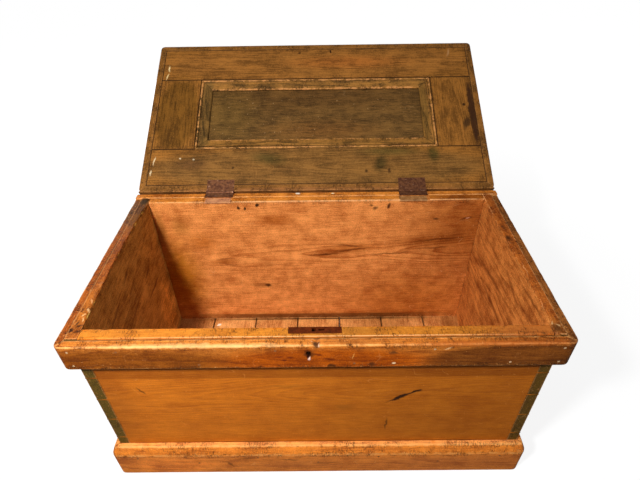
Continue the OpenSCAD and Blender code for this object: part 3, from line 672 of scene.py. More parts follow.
back_pine = pine(
    "back_pine", tone(255, 166, 88), tone(176, 92, 36), wear_show=0.7, worn=tone(252, 190, 124),
    streak=0.5, figure=1.15, ring_wave=0.05, ring_gap=8 * MM, ring_reach=0.05, ring_show=0.8,
    zones=around(
        # painted shade: the back board darker towards its right, where less lamp light falls
        ((0.46, 0.36, 0.22), 1, 0.3, 460, 233, 400, 340, 30, 300),
        ((0.76, 0.66, 0.44), 1, 0.3, 300, 233, 100, 340, 30, 220),
        # painted shadow that the left board casts on the back board's left part
        ((0.52, 0.45, 0.12), 1, 0.4, -430, 233, 200, 130, 30, 270)
    ) + on_back(
        # the first spot here is painted shadow down the back left corner
        ((0.55, 0.52, 0.4), 1, 0.2, -440, 400, 26, 90), ((0.72, 0.6, 0.42), 1, 0.1, -115, 426, 70, 30),
        ((0.7, 0.58, 0.4), 1, 0.1, -330, 352, 64, 50, -10),
        ((0.72, 0.74, 0.62), 1, 0.1, -380, 410, 40, 50),
        ((0.62, 0.5, 0.36), 1, 0.1, -276, 276, 60, 18, 6),
        ((0.66, 0.54, 0.4), 1, 0.1, 95, 322, 140, 26, 6),
        ((0.66, 0.56, 0.42), 1, 0.1, 330, 350, 160, 34, 4), ((0.76, 0.7, 0.62), 1, 0.2, 0, 46, 500, 26)
    ) + around(
        ((0.92, 0.84, 0.46), 1, 0.8, 0, 250, 488, 2000, 30, 20)),
    bands=around(
        (tone(196, 132, 98), 0.8, 0.93, -266, 231, 488, 36, 13.5, 6),
        (tone(140, 96, 54), 0.85, 0.93, 262, 231, 488, 39, 13.5, 6),
        (tone(120, 56, 20), 0.7, 0.6, -266, 218.5, 486, 36, 4, 6),
        (tone(110, 52, 18), 0.7, 0.6, 262, 218.5, 486, 39, 4, 6),
        (tone(96, 48, 18), 0.8, 0.4, -229.5, 227, 488, 2.5, 10, 8),
        # painted highlight, partly wear: a pale line along the back board's inner top arris
        (tone(252, 196, 140), 0.35, 0.4, 0, 222.5, 487, 460, 2.2, 4),
        (tone(74, 40, 12), 0.7, 0.5, 0, 221, 40, 460, 10, 14),
        ((0.84, 0.74, 0.4), 1, 0.97, 0, 246, 240, 480, 12, 240)),
    marks=on_face(
        (DARK_SPOT, 0.95, 0.35, -153.5, 179, 11, 9), (tone(116, 58, 16), 0.6, 0.1, -170, 181, 40, 13),
        (tone(84, 36, 8), 0.85, 0.1, 20, 301, 66, 5, 5),
        (tone(96, 44, 12), 0.75, 0.1, 95, 316, 80, 6, 9),
        (tone(96, 44, 12), 0.7, 0.1, 95, 332, 66, 5, -6),
        (tone(104, 50, 14), 0.7, 0.1, 215, 302, 110, 4, 4),
        (tone(90, 40, 10), 0.75, 0.1, 350, 352, 110, 5, 6),
        (tone(90, 40, 10), 0.65, 0.1, 340, 322, 90, 4, 3),
        (tone(150, 74, 24), 0.4, 0.1, -150, 268, 40, 24),
        (tone(130, 62, 18), 0.6, 0.1, -270, 287, 46, 5, 8),
        (tone(130, 62, 18), 0.6, 0.1, -262, 266, 46, 5, -10),
        (DARK_SPOT, 0.95, 0.4, -210.7, 468, 5, 9, 10), (DARK_SPOT, 0.95, 0.4, -192.7, 466, 4.5, 9, -24),
        (DARK_SPOT, 0.95, 0.4, -158.8, 476, 6, 9, -14), (DARK_SPOT, 0.75, 0.2, 160.9, 462, 12, 8, 30),
        (DARK_SPOT, 0.7, 0.2, 150, 472, 7, 5), (DARK_SPOT, 0.9, 0.3, 196.8, 469, 6, 12, -12),
        (DARK_SPOT, 0.7, 0.3, 330, 424, 12, 5), (tone(96, 44, 12), 0.8, 0.3, 414, 424, 22, 8, 12),
        (tone(232, 170, 130), 0.8, 0.3, 418, 425, 9, 3, 12)
    ) + on_rim(
        (tone(255, 240, 214), 0.9, 0.5, -50, 259, 9, 5, -10),
        (tone(255, 236, 190), 0.9, 0.5, 46, 257, 5, 4)))
left_pine = pine(
    "left_pine", tone(214, 157, 73), tone(130, 82, 28), wear_show=0.6, streak=0.8, figure=1.3,
    end_tone=tone(104, 80, 26), worn=tone(226, 150, 84), ring_wave=0.09, ring_gap=18 * MM,
    ring_show=0.45,
    zones=around(
        ((0.74, 0.38, 0.26), 1, 0.8, -463, 0, 490, 50, EVERYWHERE, 6)
    ) + on_rim(
        ((0.46, 0.58, 0.3), 1, 0.3, -463, 200, 30, 160),
        ((1.05, 1.2, 1.05), 1, 0.2, -463, -180, 30, 120)
    ) + around(
        # painted light: the far part of the left board's inside made lighter, as bounced light would
        ((1.55, 1.5, 1.4), 1, 0.2, -451, 170, 140, 30, 90, 160)),
    bands=around(
        ((1.34, 0.8, 0.32), 1, 0.97, -476, 0, 240, 12, 244.5, 240),
        (tone(70, 36, 12), 0.7, 0.5, -474.5, 0, 488, 1.2, 245, 6)),
    marks=on_left(
        (tone(66, 28, 8), 0.8, 0.1, 5, 424, 44, 6, 22),
        (tone(70, 30, 8), 0.7, 0.1, -100, 392, 60, 7, 14),
        (tone(64, 28, 8), 0.8, 0.1, 106, 344, 40, 6, 19),
        (tone(66, 28, 8), 0.7, 0.1, 120, 280, 70, 6, 6),
        (tone(70, 32, 8), 0.6, 0.1, -10, 320, 90, 8, 12)
    ) + on_rim(
        (DARK_SPOT, 0.9, 0.3, -470, -224, 7, 8), (DARK_SPOT, 0.85, 0.3, -460, -213, 8, 5, 30),
        (DARK_SPOT, 0.8, 0.3, -466, -206, 3, 10, -20), (DARK_SPOT, 0.7, 0.3, -458, -228, 12, 3, 20),
        (tone(84, 44, 18), 0.7, 0.3, -469, -170, 3, 10, 10),
        (tone(240, 184, 120), 0.7, 0.3, -458, -196, 3, 9, 15),
        (tone(240, 184, 120), 0.7, 0.3, -463, -184, 3, 7, -20),
        (tone(240, 184, 120), 0.7, 0.3, -456, -172, 3, 9, 20),
        (tone(240, 180, 120), 0.5, 0.1, -461, -146, 3, 12, 20),
        (tone(246, 190, 150), 0.6, 0.3, -455, 20, 3, 7), (tone(54, 34, 2), 0.85, 0.4, -463, 226, 14, 22)))
right_pine = pine(
    "right_pine", tone(224, 141, 66), tone(134, 66, 22), wear_show=0.7, streak=0.75, figure=1.2,
    end_tone=tone(106, 76, 24), worn=tone(242, 170, 104), ring_wave=0.12, ring_gap=24 * MM,
    ring_show=0.5,
    zones=around(
        ((0.72, 0.54, 0.36), 1, 0.8, 463, 0, 490, 50, EVERYWHERE, 6)
    ) + on_rim(
        ((0.66, 0.76, 0.8), 1, 0.2, 463, -235, 40, 50)),
    bands=around(
        ((1.2, 0.92, 0.3), 1, 0.97, 476, 0, 240, 12, 244.5, 240)),
    marks=on_right(
        (tone(96, 40, 10), 0.7, 0.1, 75, 346, 150, 9, -8),
        (tone(100, 42, 12), 0.65, 0.1, 25, 293, 100, 10, -1),
        (tone(100, 42, 12), 0.6, 0.1, -42, 415, 90, 10, 17),
        (tone(92, 38, 10), 0.7, 0.1, -140, 463, 80, 6, -6),
        (tone(104, 44, 12), 0.6, 0.1, -130, 420, 90, 9, -14),
        (tone(110, 48, 14), 0.55, 0.1, -120, 340, 110, 13, 4),
        (tone(100, 44, 12), 0.55, 0.1, 110, 260, 90, 11, -4)
    ) + on_rim(
        (DARK_SPOT, 0.85, 0.2, 460, 50, 9, 17, 10), (tone(90, 50, 20), 0.6, 0.2, 461, 92, 6, 12, 10),
        (tone(62, 40, 20), 0.6, 0.2, 461, -228, 13, 15),
        (tone(220, 176, 120), 0.6, 0.1, 466, -222, 2, 9, 40),
        (tone(220, 176, 120), 0.6, 0.1, 458, -216, 2, 7, -30),
        (tone(232, 160, 96), 0.5, 0.1, 456, -170, 2, 26, -6),
        (tone(232, 160, 96), 0.5, 0.1, 460, -60, 2, 34, -4)
    ) + around(
        # painted shade: a dark line down the right board's front inner arris, which the lamp lights
        (tone(96, 66, 24), 0.7, 0.3, 451.5, -245, 260, 9, 6, 300)))
skirt_pine = pine(
    "skirt_pine", tone(224, 132, 48), tone(150, 76, 22), ring_show=0.5, figure=1.05, wear_show=0.95,
    wear_width=4.6 * MM, wear_break=7 * MM, worn=tone(248, 176, 100), crack_show=0.8, scratch_show=0.15,
    grime_show=0.8,
    zones=around(
        ((0.46, 0.44, 0.4), 1, 0.8, 400, -262, 430, 215, 30, 60),
        ((0.78, 0.76, 0.8), 1, 0.4, 400, -262, 424, 200, 30, 22),
        ((0.62, 0.6, 0.62), 1, 0.3, 520, -262, 430, 110, 30, 60)
    ) + on_face(
        ((0.54, 0.48, 0.26), 1, 0.5, -380, 436, 300, 52), ((0.86, 0.56, 0.1), 1, 0.5, 20, 436, 280, 52),
        ((0.82, 0.74, 0.6), 1, 0.2, -490, 430, 60, 60)
    ) + around(
        ((0.78, 0.8, 1.0), 1, 0.2, 60, -254, 486, 120, 20, 12),
        ((0.6, 0.52, 0.5), 1, 0.2, 500, -254, 486, 260, 20, 12),
        ((0.6, 0.47, 0.4), 1, 0.7, -485, 0, 490, 11.5, EVERYWHERE, 14),
        ((0.46, 0.5, 0.75), 1, 0.7, 485, 0, 490, 11.5, EVERYWHERE, 14),
        ((0.26, 0.42, 0.12), 1, 0.2, -485, 200, 490, 30, 180, 14),
        ((1.05, 1.16, 1.35), 1, 0.3, -250, -254, 486, 300, 20, 12)),
    marks=on_face(
        (tone(100, 28, 6), 0.9, 0.3, -60, 442, 9, 4), (tone(110, 34, 8), 0.8, 0.2, -46, 450, 12, 3, 8),
        (tone(116, 38, 8), 0.7, 0.2, -70, 452, 12, 3), (tone(96, 30, 6), 0.8, 0.3, 28, 444, 16, 5),
        (tone(110, 34, 8), 0.8, 0.2, 6, 458, 14, 4, -10), (DARK_SPOT, 0.8, 0.5, 31, 423, 11, 9),
        (tone(150, 84, 26), 0.8, 0.4, 31, 419, 7, 5), (tone(255, 220, 170), 0.9, 0.5, 151, 430, 6, 4)
    ) + around(
        (tone(180, 92, 32), 0.68, 0.3, 330, -262, 483, 240, 10, 9),
        # wear and painted highlight: a pale band along the skirt's top front arris at its left
        (tone(255, 200, 130), 0.5, 0.3, -220, -262, 483.5, 280, 9, 5.5),
        (tone(74, 38, 14), 0.55, 0.3, -476.5, 0, 484, 6, 250, 10),
        (tone(120, 62, 24), 0.5, 0.3, 476.5, 0, 484, 6, 250, 10),
        (tone(124, 70, 30), 0.5, 0.3, 487, -257, 484, 22, 22, 10),
        (tone(110, 54, 18), 0.2, 0.4, 0, -262, 417, 600, 10, 3.5)
    ) + on_face(
        (tone(232, 196, 176), 0.9, 0.4, -12.5, 445, 4, 5), (DARK_SPOT, 0.7, 0.4, -12, 460, 15, 13, -14)
    ) + around(
        (tone(66, 42, 28), 0.9, 0.3, 3, -259, 482, 10, 12, 9),
        (tone(214, 186, 160), 0.6, 0.3, 9, -262, 482, 2, 4, 3),
        (tone(204, 170, 140), 0.6, 0.3, -5, -253, 484.5, 3, 2, 4)
    ) + on_face(
        (tone(84, 42, 14), 0.8, 0.3, 108, 428, 8, 9), (tone(84, 50, 24), 0.7, 0.3, 148, 462, 10, 8),
        (tone(250, 180, 90), 0.6, 0.2, 72, 452, 2, 15, -10),
        (tone(250, 200, 140), 0.7, 0.2, 250, 474, 12, 3, 24)))
plinth_pine = pine(
    "plinth_pine", tone(250, 148, 58), tone(178, 92, 36), wear_show=0.75, wear_width=5 * MM,
    wear_break=9 * MM, worn=tone(250, 176, 96), ring_show=0.4, figure=0.9, crack_show=0.8, dust_show=0.7,
    zones=around(
        ((1.12, 1.4, 2.2), 1, 0.6, 0, -260, 112, 2000, 60, 8),
        ((1.0, 0.96, 0.74), 1, 0.6, 0, -260, 94, 2000, 60, 13)
    ) + on_face(
        ((1.25, 1.2, 1.15), 1, 0.3, -350, 40, 160, 50), ((0.84, 0.82, 0.95), 1, 0.3, 330, 40, 300, 44),
        ((0.8, 0.78, 0.9), 1, 0.1, -40, 40, 150, 34)),
    marks=on_face(
        (tone(100, 52, 20), 0.7, 0.2, -214, 42, 5, 20, 24),
        (tone(110, 60, 22), 0.6, 0.1, -170, 70, 30, 5, 4),
        (tone(106, 56, 20), 0.6, 0.1, -70, 60, 34, 5, -6),
        (tone(106, 56, 20), 0.6, 0.1, 20, 44, 50, 4, 5)))
floor_pine = pine(
    "floor_pine", tone(250, 176, 100), tone(172, 100, 46), grime_show=0.9, ring_show=0.15,
    seam_show=0.7, wear_show=0.1, dust_show=0.6,
    zones=on_top(
        ((1.1, 1.15, 1.2), 1, 0.2, -300, 180, 90, 60), ((0.76, 0.72, 0.66), 1, 0.2, 200, 190, 110, 60),
        ((0.6, 0.56, 0.5), 1, 0.2, 430, 200, 60, 60), ((0.7, 0.74, 0.8), 1, 0.2, -430, 200, 50, 60)),
    bands=around(
        (tone(58, 32, 12), 0.85, 0.3, 0, 217.5, 30, 460, 4.5, 10)),
    marks=on_top(
        (tone(255, 246, 220), 0.95, 0.6, -323, 195, 9, 6, 10)))
lid_pine = pine(
    "lid_pine", tone(164, 106, 43), tone(104, 65, 23), wear_show=0.3, worn=tone(188, 126, 60),
    seam_show=0.9, ring_show=0.5, figure=1.2,
    zones=on_top(
        ((0.6, 0.62, 0.5), 1, 0.7, -415, 0, 76, 150), ((0.76, 0.87, 1.15), 1, 0.7, 0, 192, 560, 84),
        ((1.08, 1.08, 1.2), 1, 0.7, 0, -190, 560, 84), ((1.16, 0.98, 0.9), 1, 0.1, 100, -190, 260, 40),
        ((0.42, 0.55, 0.55), 1, 0.1, -134, 161, 80, 34, 10),
        ((0.6, 0.58, 0.7), 1, 0.1, -354, 178, 70, 30), ((0.4, 0.5, 0.5), 1, 0.2, 183, 180, 26, 40, 24),
        ((0.4, 0.55, 0.5), 1, 0.2, 335, 150, 24, 40), ((0.6, 0.75, 0.7), 1, 0.1, 210, 140, 130, 24)),
    marks=on_lid(
        (tone(54, 30, 16), 0.9, 0.6, 466, 6, 12, 138),
        (tone(52, 34, 18), 0.8, 0.3, 445, 46, 16, 34, 20), (DARK_SPOT, 0.9, 0.4, 444, -20, 7, 7),
        (DARK_SPOT, 0.95, 0.5, 48, -234, 4, 9), (DARK_SPOT, 0.8, 0.4, -52, -228, 6, 5),
        (DARK_SPOT, 0.8, 0.3, 142, 206, 7, 9), (DARK_SPOT, 0.7, 0.3, 206, 204, 6, 14),
        (tone(232, 206, 160), 0.85, 0.3, -462, 166, 2.6, 20, 6),
        (tone(232, 206, 160), 0.8, 0.3, -467, 204, 3, 12, 8),
        (tone(246, 214, 150), 0.85, 0.3, -457, -172, 3, 16, -12),
        (tone(246, 214, 150), 0.85, 0.3, -460, -140, 3, 18, 8),
        (tone(236, 220, 180), 0.6, 0.2, -351, 162, 5, 3),
        (tone(236, 220, 180), 0.7, 0.3, -388, 158, 4, 4),
        (tone(200, 150, 100), 0.5, 0.2, 420, -225, 5, 26, 20), (DARK_SPOT, 0.7, 0.3, -236, 190, 5, 5)))
rim_pine = pine(
    "rim_pine", tone(156, 102, 44), tone(100, 64, 24), wear_show=0.6, worn=tone(206, 142, 78),
    crack_show=0.8, ring_show=0.4,
    zones=on_top(
        ((1.05, 1.0, 1.3), 1, 0.3, 0, 262, 560, 12)))
panel_pine = pine(
    "panel_pine", tone(127, 90, 44), tone(75, 52, 24), wear_show=0.2, worn=tone(190, 150, 100),
    seam_show=0.9, ring_show=0.3, dust_show=0.9, scratch_show=0.1, figure=1.3,
    zones=on_top(
        ((0.77, 0.73, 0.73), 1, 0.1, 0, -70, 400, 100), ((0.92, 0.98, 0.9), 1, 0.1, -260, 0, 130, 160),
        ((1.14, 1.0, 0.9), 1, 0.1, 20, 60, 240, 60)))
moulding_pine = pine(
    "moulding_pine", tone(172, 117, 52), tone(87, 60, 26), wear_show=0.75, wear_width=2.6 * MM,
    wear_break=20 * MM, worn=tone(214, 146, 82), crack_show=0.9,
    zones=on_top(
        ((0.58, 0.66, 0.78), 1, 0.7, -330, 0, 34, 150), ((0.62, 0.68, 0.7), 1, 0.5, 324, -10, 17, 150),
        ((1.25, 1.3, 1.45), 1, 0.5, 0, 140, 330, 40)))
hinge_iron = iron(
    "hinge_iron", tone(93, 56, 40), tone(138, 89, 57), tone(214, 172, 142),
    dull=around((tone(66, 32, 16), 0.35, 0.97, 300, 0, 500, 300, 2000, 2000)))
lock_iron = iron(
    "lock_iron", tone(77, 29, 6), tone(101, 40, 9), tone(136, 72, 24), metallic=0.1)
nail_iron = iron(
    "nail_iron", tone(110, 64, 34), tone(160, 104, 60), tone(210, 160, 110), metallic=0.1)
pale_nail = iron(
    "pale_nail", tone(206, 166, 120), tone(228, 190, 146), tone(248, 224, 190), metallic=0.1,
    dull=around((tone(128, 70, 26), 0.85, 0.97, -160, -250, 450, 280, 300, 300)))

# The camera, as fitted to the photograph: place, turns in degrees and focal length
CAMERA_AT = Vector((16.875, -817.476, 1166.096)) * MM
YAW, PITCH, ROLL = (math.radians(a) for a in (-0.441, -38.008, -0.915))
FOCAL_PX = 460.933
IMAGE_W = 640
SENSOR_MM = 36.0


def add_camera():
    """A camera whose axes come from its yaw, its pitch, and a roll about its own view."""
    ahead = Vector((math.sin(YAW) * math.cos(PITCH), math.cos(YAW) * math.cos(PITCH),
                    math.sin(PITCH)))
    level = Vector((math.cos(YAW), -math.sin(YAW), 0))
    above = level.cross(ahead)
    right = level * math.cos(ROLL) + above * math.sin(ROLL)
    up = above * math.cos(ROLL) - level * math.sin(ROLL)
    data = bpy.data.cameras.new("camera")
    data.sensor_width = SENSOR_MM
    data.lens = FOCAL_PX * SENSOR_MM / IMAGE_W
    data.clip_start, data.clip_end = 0.05, 60
    obj = new_object("camera", data)
    obj.matrix_world = Matrix.Translation(CAMERA_AT) @ Matrix(
        (right, up, -ahead)).transposed().to_4x4()
    bpy.context.scene.camera = obj


def add_lamp(name, at, size, power):
    """A square soft lamp that looks at the case's middle."""
    data = bpy.data.lights.new(name, "AREA")
    data.shape, data.size, data.energy = "SQUARE", size, power
    obj = new_object(name, data)
    obj.location = at
    obj.rotation_mode = "QUATERNION"
    obj.rotation_quaternion = (Vector((0, 0, 0.35)) - obj.location).to_track_quat("-Z", "Y")


def seen(paint):
    """1 for rays that come from the camera."""
    return paint.node("LightPath", output="Is Camera Ray")


def add_floor():
    """A wide pale floor that keeps the shadow and reads as white where it is lit."""
    across = np.linspace(-16, 16, 9)
    points, quads = box_shell(across, across, np.array([-0.05, 0]))
    mesh = new_mesh("studio_floor", points, quads.tolist())
    obj = new_object("studio_floor", mesh)
    paint = Paint(bpy.data.materials.new("studio_white"))
    far = paint.vector("LENGTH", paint.own_place(), output=1)
    diffuse = paint.node("BsdfDiffuse", {}, {"Color": (0.18, 0.18, 0.18, 1)})
    glow = paint.node("Emission", {}, {
        "Color": paint.ease(far, 0.7, 2.2, 0.87, 0.98), "Strength": seen(paint)})
    both = paint.node("AddShader", {}, {0: diffuse, 1: glow})
    paint.node("OutputMaterial", {}, {"Surface": both})
    mesh.materials.append(paint.owner)


def add_world(fill):
    """An even sky of the given strength, which the camera sees as white."""
    paint = Paint(bpy.data.worlds.new("studio_sky"))
    sky = paint.node("Background", {}, {
        "Color": (1, 1, 1, 1), "Strength": seen(paint) * (1 - fill) + fill})
    paint.node("OutputWorld", {}, {"Surface": sky})
    bpy.context.scene.world = paint.owner


# How far the side boards' inner faces lean out at their top
LEAN_OUT = 7 * MM


def bowed(points, sign):
    """The inner face of a side board leans out towards its top: on the left most at half
    its length, as one minus the square of y, and on the right more and more forwards."""
    inner = ((case_half_w - sign * points[:, 0]) / board_t).clip(0, 1)
    up = ((points[:, 2] - case_base) / (case_top - case_base)).clip(0, 1) ** 2
    along = points[:, 1] / inner_half_d
    middle = (1 - along ** 2).clip(0)
    if sign < 0:
        push = LEAN_OUT * middle
    else:
        push = LEAN_OUT * middle ** 0.5 * ((1 - along) / 2).clip(0, 1)
    return points + np.stack([sign * push * inner * up, 0 * push, 0 * push], 1)


# Pins at each end of a front or back board: the lowest one's height, and their spacing, in mm
LOWEST_PIN = {-1: 58, 1: 62.5}
PIN_SPACING = 76.5
PIN_COUNT = 6


def pins(sign):
    """The pins at both ends of a front or back board: thin wedges that widen inwards."""
    xs = np.array([inner_half_w - 1 * MM, case_half_w - SKIN + 0.15 * MM])
    points, quads = box_shell(xs, np.linspace(0, 1, 5), np.linspace(-1, 1, 3))
    depth = board_t * points[:, 1]
    half = 1.4 * MM + depth / 6
    return [(np.stack([
        end * points[:, 0], sign * (case_half_d - 0.05 * MM - depth),
        (LOWEST_PIN[end] + PIN_SPACING * step) * MM + half * points[:, 2]], 1), quads)
        for end in (-1, 1) for step in range(PIN_COUNT)]


# The keyhole, in mm: its middle, the radius and height of its round top, half the slot's
# width, the slot's foot, and how far it is cut from front to back
KEYHOLE_AT = (-12.5, 456)
KEYHOLE_R, KEYHOLE_RISE = 5, 6.5
SLOT_HALF, SLOT_FOOT = 2.75, -11.5
KEYHOLE_FRONT, KEYHOLE_DEEP = -265.5, 43


def keyhole_cutter():
    """A keyhole's outline, a round top on a straight slot, carried from front to back."""
    turn = np.radians(np.linspace(-30, 210, 25))
    x = np.concatenate([KEYHOLE_R * np.cos(turn), [-SLOT_HALF, SLOT_HALF]])
    z = np.concatenate([KEYHOLE_RISE + KEYHOLE_R * np.sin(turn), [SLOT_FOOT, SLOT_FOOT]])
    x = np.where(np.abs(x) < 0.1, 0, x)
    count = len(x)
    front = np.stack([(x + KEYHOLE_AT[0]) * MM, np.full(count, KEYHOLE_FRONT * MM),
                      (z + KEYHOLE_AT[1]) * MM], 1)
    back = front + np.array([0, KEYHOLE_DEEP * MM, 0])
    ring = np.arange(count)
    after = np.roll(ring, -1)
    quads = np.stack([ring, after, after + count, ring + count], 1)
    return np.concatenate([front, back]), quads, [ring[::-1], ring + count]


# A hinge mortise: its room beside a leaf, its depth, how far it is cut above the case, and
# where it starts and ends from front to back, in mm
MORTISE_ROOM, MORTISE_DEEP, MORTISE_OVER = 1.5 * MM, 2.5 * MM, 5 * MM
MORTISE_Y = (215, 275)


def hinge_cutters():
    """The two mortises that the case leaves lie in, open to the back and to the inside."""
    found = []
    for node in ("left_case_leaf", "right_case_leaf"):
        low, high = node_box(node)
        found.append(box_shell(
            np.array([low[0] - MORTISE_ROOM, high[0] + MORTISE_ROOM]),
            np.array(MORTISE_Y) * MM,
            np.array([case_top - MORTISE_DEEP, case_top + MORTISE_OVER])))
    return found


def add_long_board(node, sign, material, chips, cutters, dents=(), extra=((), (), ())):
    """The front board (-1) or the back one (1): cut between the side boards, with pins that
    go on into them, and with chips along its inner top edge."""
    near, far = sorted((sign * inner_half_d, sign * case_half_d))
    low = np.array([-inner_half_w, near, case_base])
    high = np.array([inner_half_w, far, case_top])
    edge = sign * inner_half_d
    chips = edge_chips((-inner_half_w, edge, case_top), (inner_half_w, edge, case_top),
                       (0, 0.7 * sign, -1), *chips)
    shape = board(low, high, 1.2 * MM, (6, 8, 9), extra, [*chips, *dents],
                  seed=11 + sign)
    low[0], high[0] = -case_half_w, case_half_w
    add_board(node, "case", "case_pine", material, shape, low, high, (X, Z, Y),
              (0.249, -0.06, 0.045, 0.04), 21 + sign, cutters=cutters, others=pins(sign))


def add_side_board(node, sign, material, heart):
    """The left board (-1) or the right one (1), chipped along its inner top edge."""
    near, far = sorted((sign * inner_half_w, sign * case_half_w))
    low = np.array([near, -case_half_d, case_base])
    high = np.array([far, case_half_d, case_top])
    edge = sign * inner_half_w
    chips = edge_chips((edge, -inner_half_d, case_top), (edge, inner_half_d, case_top),
                       (0.7 * sign, 0, -1), 16, 31 + sign, 20 * MM, 2.4 * MM)

    def worn(points):
        """Small everywhere; on the right board's inner top arris it grows forwards."""
        inner_top = (points[:, 2] > case_top - 14 * MM) & (
            np.abs(points[:, 0]) < case_half_w - board_t / 2)
        forward = ((case_half_d - points[:, 1]) / (2 * case_half_d)).clip(0, 1)
        grown = (2 + 7 * forward) * MM if sign > 0 else 2 * MM
        return np.where(inner_top, grown, 1 * MM)

    points, quads = board(low, high, worn, (8, 6, 9), dents=chips, seed=15 + sign)
    add_board(node, "case", "case_pine", material, (bowed(points, sign), quads), low, high,
              (Y, Z, X), heart, 25 + sign)


# The pocket that the lock lies in, along each axis in mm
LOCK_POCKET = ((-36, 36), (-234.5, -220), (432, 489))


def add_case():
    """The four boards of the case, and a dent on the front with grid lines of its own."""
    pocket = box_shell(*(np.array(ends) * MM for ends in LOCK_POCKET))
    add_long_board("front_board", -1, front_pine, (9, 5, 10 * MM, 1 * MM),
                   [pocket, keyhole_cutter()], dent((186, -245, 293), (38, 30, 12), (0, 1.4, 0)),
                   (np.arange(150, 224, 4) * MM, (), np.arange(270, 318, 4) * MM))
    add_long_board("back_board", 1, back_pine, (16, 6), hinge_cutters())
    add_side_board("left_board", -1, left_pine, (0.25, -0.05, 0.3, 0.04))
    add_side_board("right_board", 1, right_pine, (0.33, -0.05, -0.06, 0.04))


def joint_dirt(most, start, fade):
    """Dirt that has gathered along a strip's inner edge and thins outwards."""
    return lambda own: most * (start - own[:, 2] / fade).clip(0, 1)


def add_skirt():
    """The skirt's three strips, mitred in front, and the batten behind."""
    thick, z0, z1 = strip_size("skirt_front")
    for side in ("front", "left", "right"):
        sign = SIDES[side][1]
        base, reach = base_and_reach(side)
        if side == "front":
            dents = edge_chips((-0.48, -0.264, z1), (0.48, -0.264, z1), (0, 0.7, -0.7), 60, 41)
            dents += dent((3, -254, 486), (7, 15, 9), (0, 2, -6))
            cutters = [keyhole_cutter()]
        else:
            x = sign * (case_half_w + thick)
            dents = edge_chips((x, -0.25, z1), (x, 0.24, z1), (-0.7 * sign, 0, -0.7), 30,
                               43 + sign, 22 * MM, 2.2 * MM)
            cutters = []
        run = side, base, thick, z0, z1, (reach, 1), (reach, 1 if side == "front" else 0)
        shaping = {"radius": 4 * MM, "corner": outer_corner(thick, 15 * MM), "dents": dents,
                   "seed": 44 + sign}
        add_strip("skirt_" + side, "case", "skirt_pine", skirt_pine, run, shaping,
                  (0.03, -0.05, 0.02, 0.01), 47 + sign, cutters=cutters,
                  dirt=joint_dirt(0.9, 1.4, 2.4 * MM))
    low, high = node_box("hinge_batten")
    shape = board(low, high, 2.5 * MM, (6, 6, 10), seed=51)
    add_board("hinge_batten", "case", "skirt_pine", back_pine, shape, low, high, (X, Z, Y),
              (0.03, -0.05, 0.01, 0.01), 52, cutters=hinge_cutters())


# Height of the foot of the slope on the plinth's top
SLOPE_FOOT = 83 * MM


def add_plinth():
    """The plinth's four boards, mitred. Each keeps its full thickness up to the slope's foot
    and then goes steeply in to a worn ledge."""
    thick, z0, z1 = strip_size("plinth_front")
    heights = np.array([z0, SLOPE_FOOT - 2 * MM, SLOPE_FOOT + 2 * MM, z1 - 4 * MM, z1])
    shares = np.array([1, 1, 0.975, 0.6, 0.47])

    def ridges(own):
        """How far a point is from the foot of the slope or from the ledge's edge."""
        ledge = np.hypot(own[:, 1] - (z1 - z0), own[:, 2] - 0.52 * thick)
        return np.minimum(np.abs(own[:, 1] - (SLOPE_FOOT - z0)), ledge)

    shaping = {"radius": 2.5 * MM, "tall_step": 6,
               "section": lambda up: np.interp(up, heights, shares),
               "corner": outer_corner(thick, 15 * MM)}
    chips = edge_chips((-0.48, -0.266, SLOPE_FOOT), (0.48, -0.266, SLOPE_FOOT), (0, 0.8, -0.3),
                       60, 61)
    for side, (_, sign) in SIDES.items():
        base, reach = base_and_reach(side)
        run = side, base, thick, z0, z1, (reach, 1), (reach, 1)
        shaping.update(dents=chips if side == "front" else (), seed=63 + sign)
        add_strip("plinth_" + side, "case", "plinth_pine", plinth_pine, run, shaping,
                  (0.05, -0.05, 0.01, 0.01), 67 + sign, arris=ridges)


def add_floor_boards():
    """Seven floor boards, laid front to back, with a dark tongue down in each gap."""
    for i in range(1, 8):
        node = f"floor_board_{i}"
        low, high = node_box(node)
        tongue = box_shell(np.array([high[0] - 1 * MM, high[0] + floor_gap - 0.3 * MM]),
                           np.linspace(2 * MM - case_half_d, case_half_d - 2 * MM, 9),
                           np.array([low[2] + 6 * MM, low[2] + 12 * MM]))
        shape = board(low, high, 1.2 * MM, (10, 10, 10), seed=70 + i)
        add_board(node, "case", "floor_pine", floor_pine, shape, low, high, (Y, X, Z),
                  (0.06, -0.05, 0.02, 0.03), 80 + i, others=[tongue] if i < 7 else (),
                  dirt=lambda own: 0.9 * (own[:, 2] < 13 * MM))


# The tongue round the lid's panel, which sits in the frame's groove
TONGUE_THICK, TONGUE_REACH = 6 * MM, 10 * MM


def add_frame():
    """The lid's frame and its panel, made closed and then swung open."""
    for i, node in enumerate(("lid_front_rail", "lid_back_rail", "lid_left_stile",
                              "lid_right_stile")):
        low, high = node_box(node, shut=True)
        along = X if "rail" in node else Y
        if along == Y:
            low[1], high[1] = -opening_half_d, opening_half_d
        shape = board(low, high, 0.9 * MM, (8, 8, 8), seed=90 + i)
        add_board(node, "lid", "lid_pine", lid_pine, shape, low, high, (along, 1 - along, Z),
                  (0.05, -0.05, 0.02, 0.03), 94 + i)
    low, high = node_box("lid_panel", shut=True)
    tongue = board(low, (high[0], high[1], low[2] + TONGUE_THICK), 0.5 * MM, (30, 30, 9), seed=98)
    low[:2], high[:2] = low[:2] + TONGUE_REACH, high[:2] - TONGUE_REACH
    shape = board(low, high, 0.5 * MM, (10, 10, 9), seed=98)
    add_board("lid_panel", "lid", "panel_pine", panel_pine, shape, low, high, (X, Y, Z),
              (0.12, -0.09, 0.03, 0.05), 99, others=[tongue])


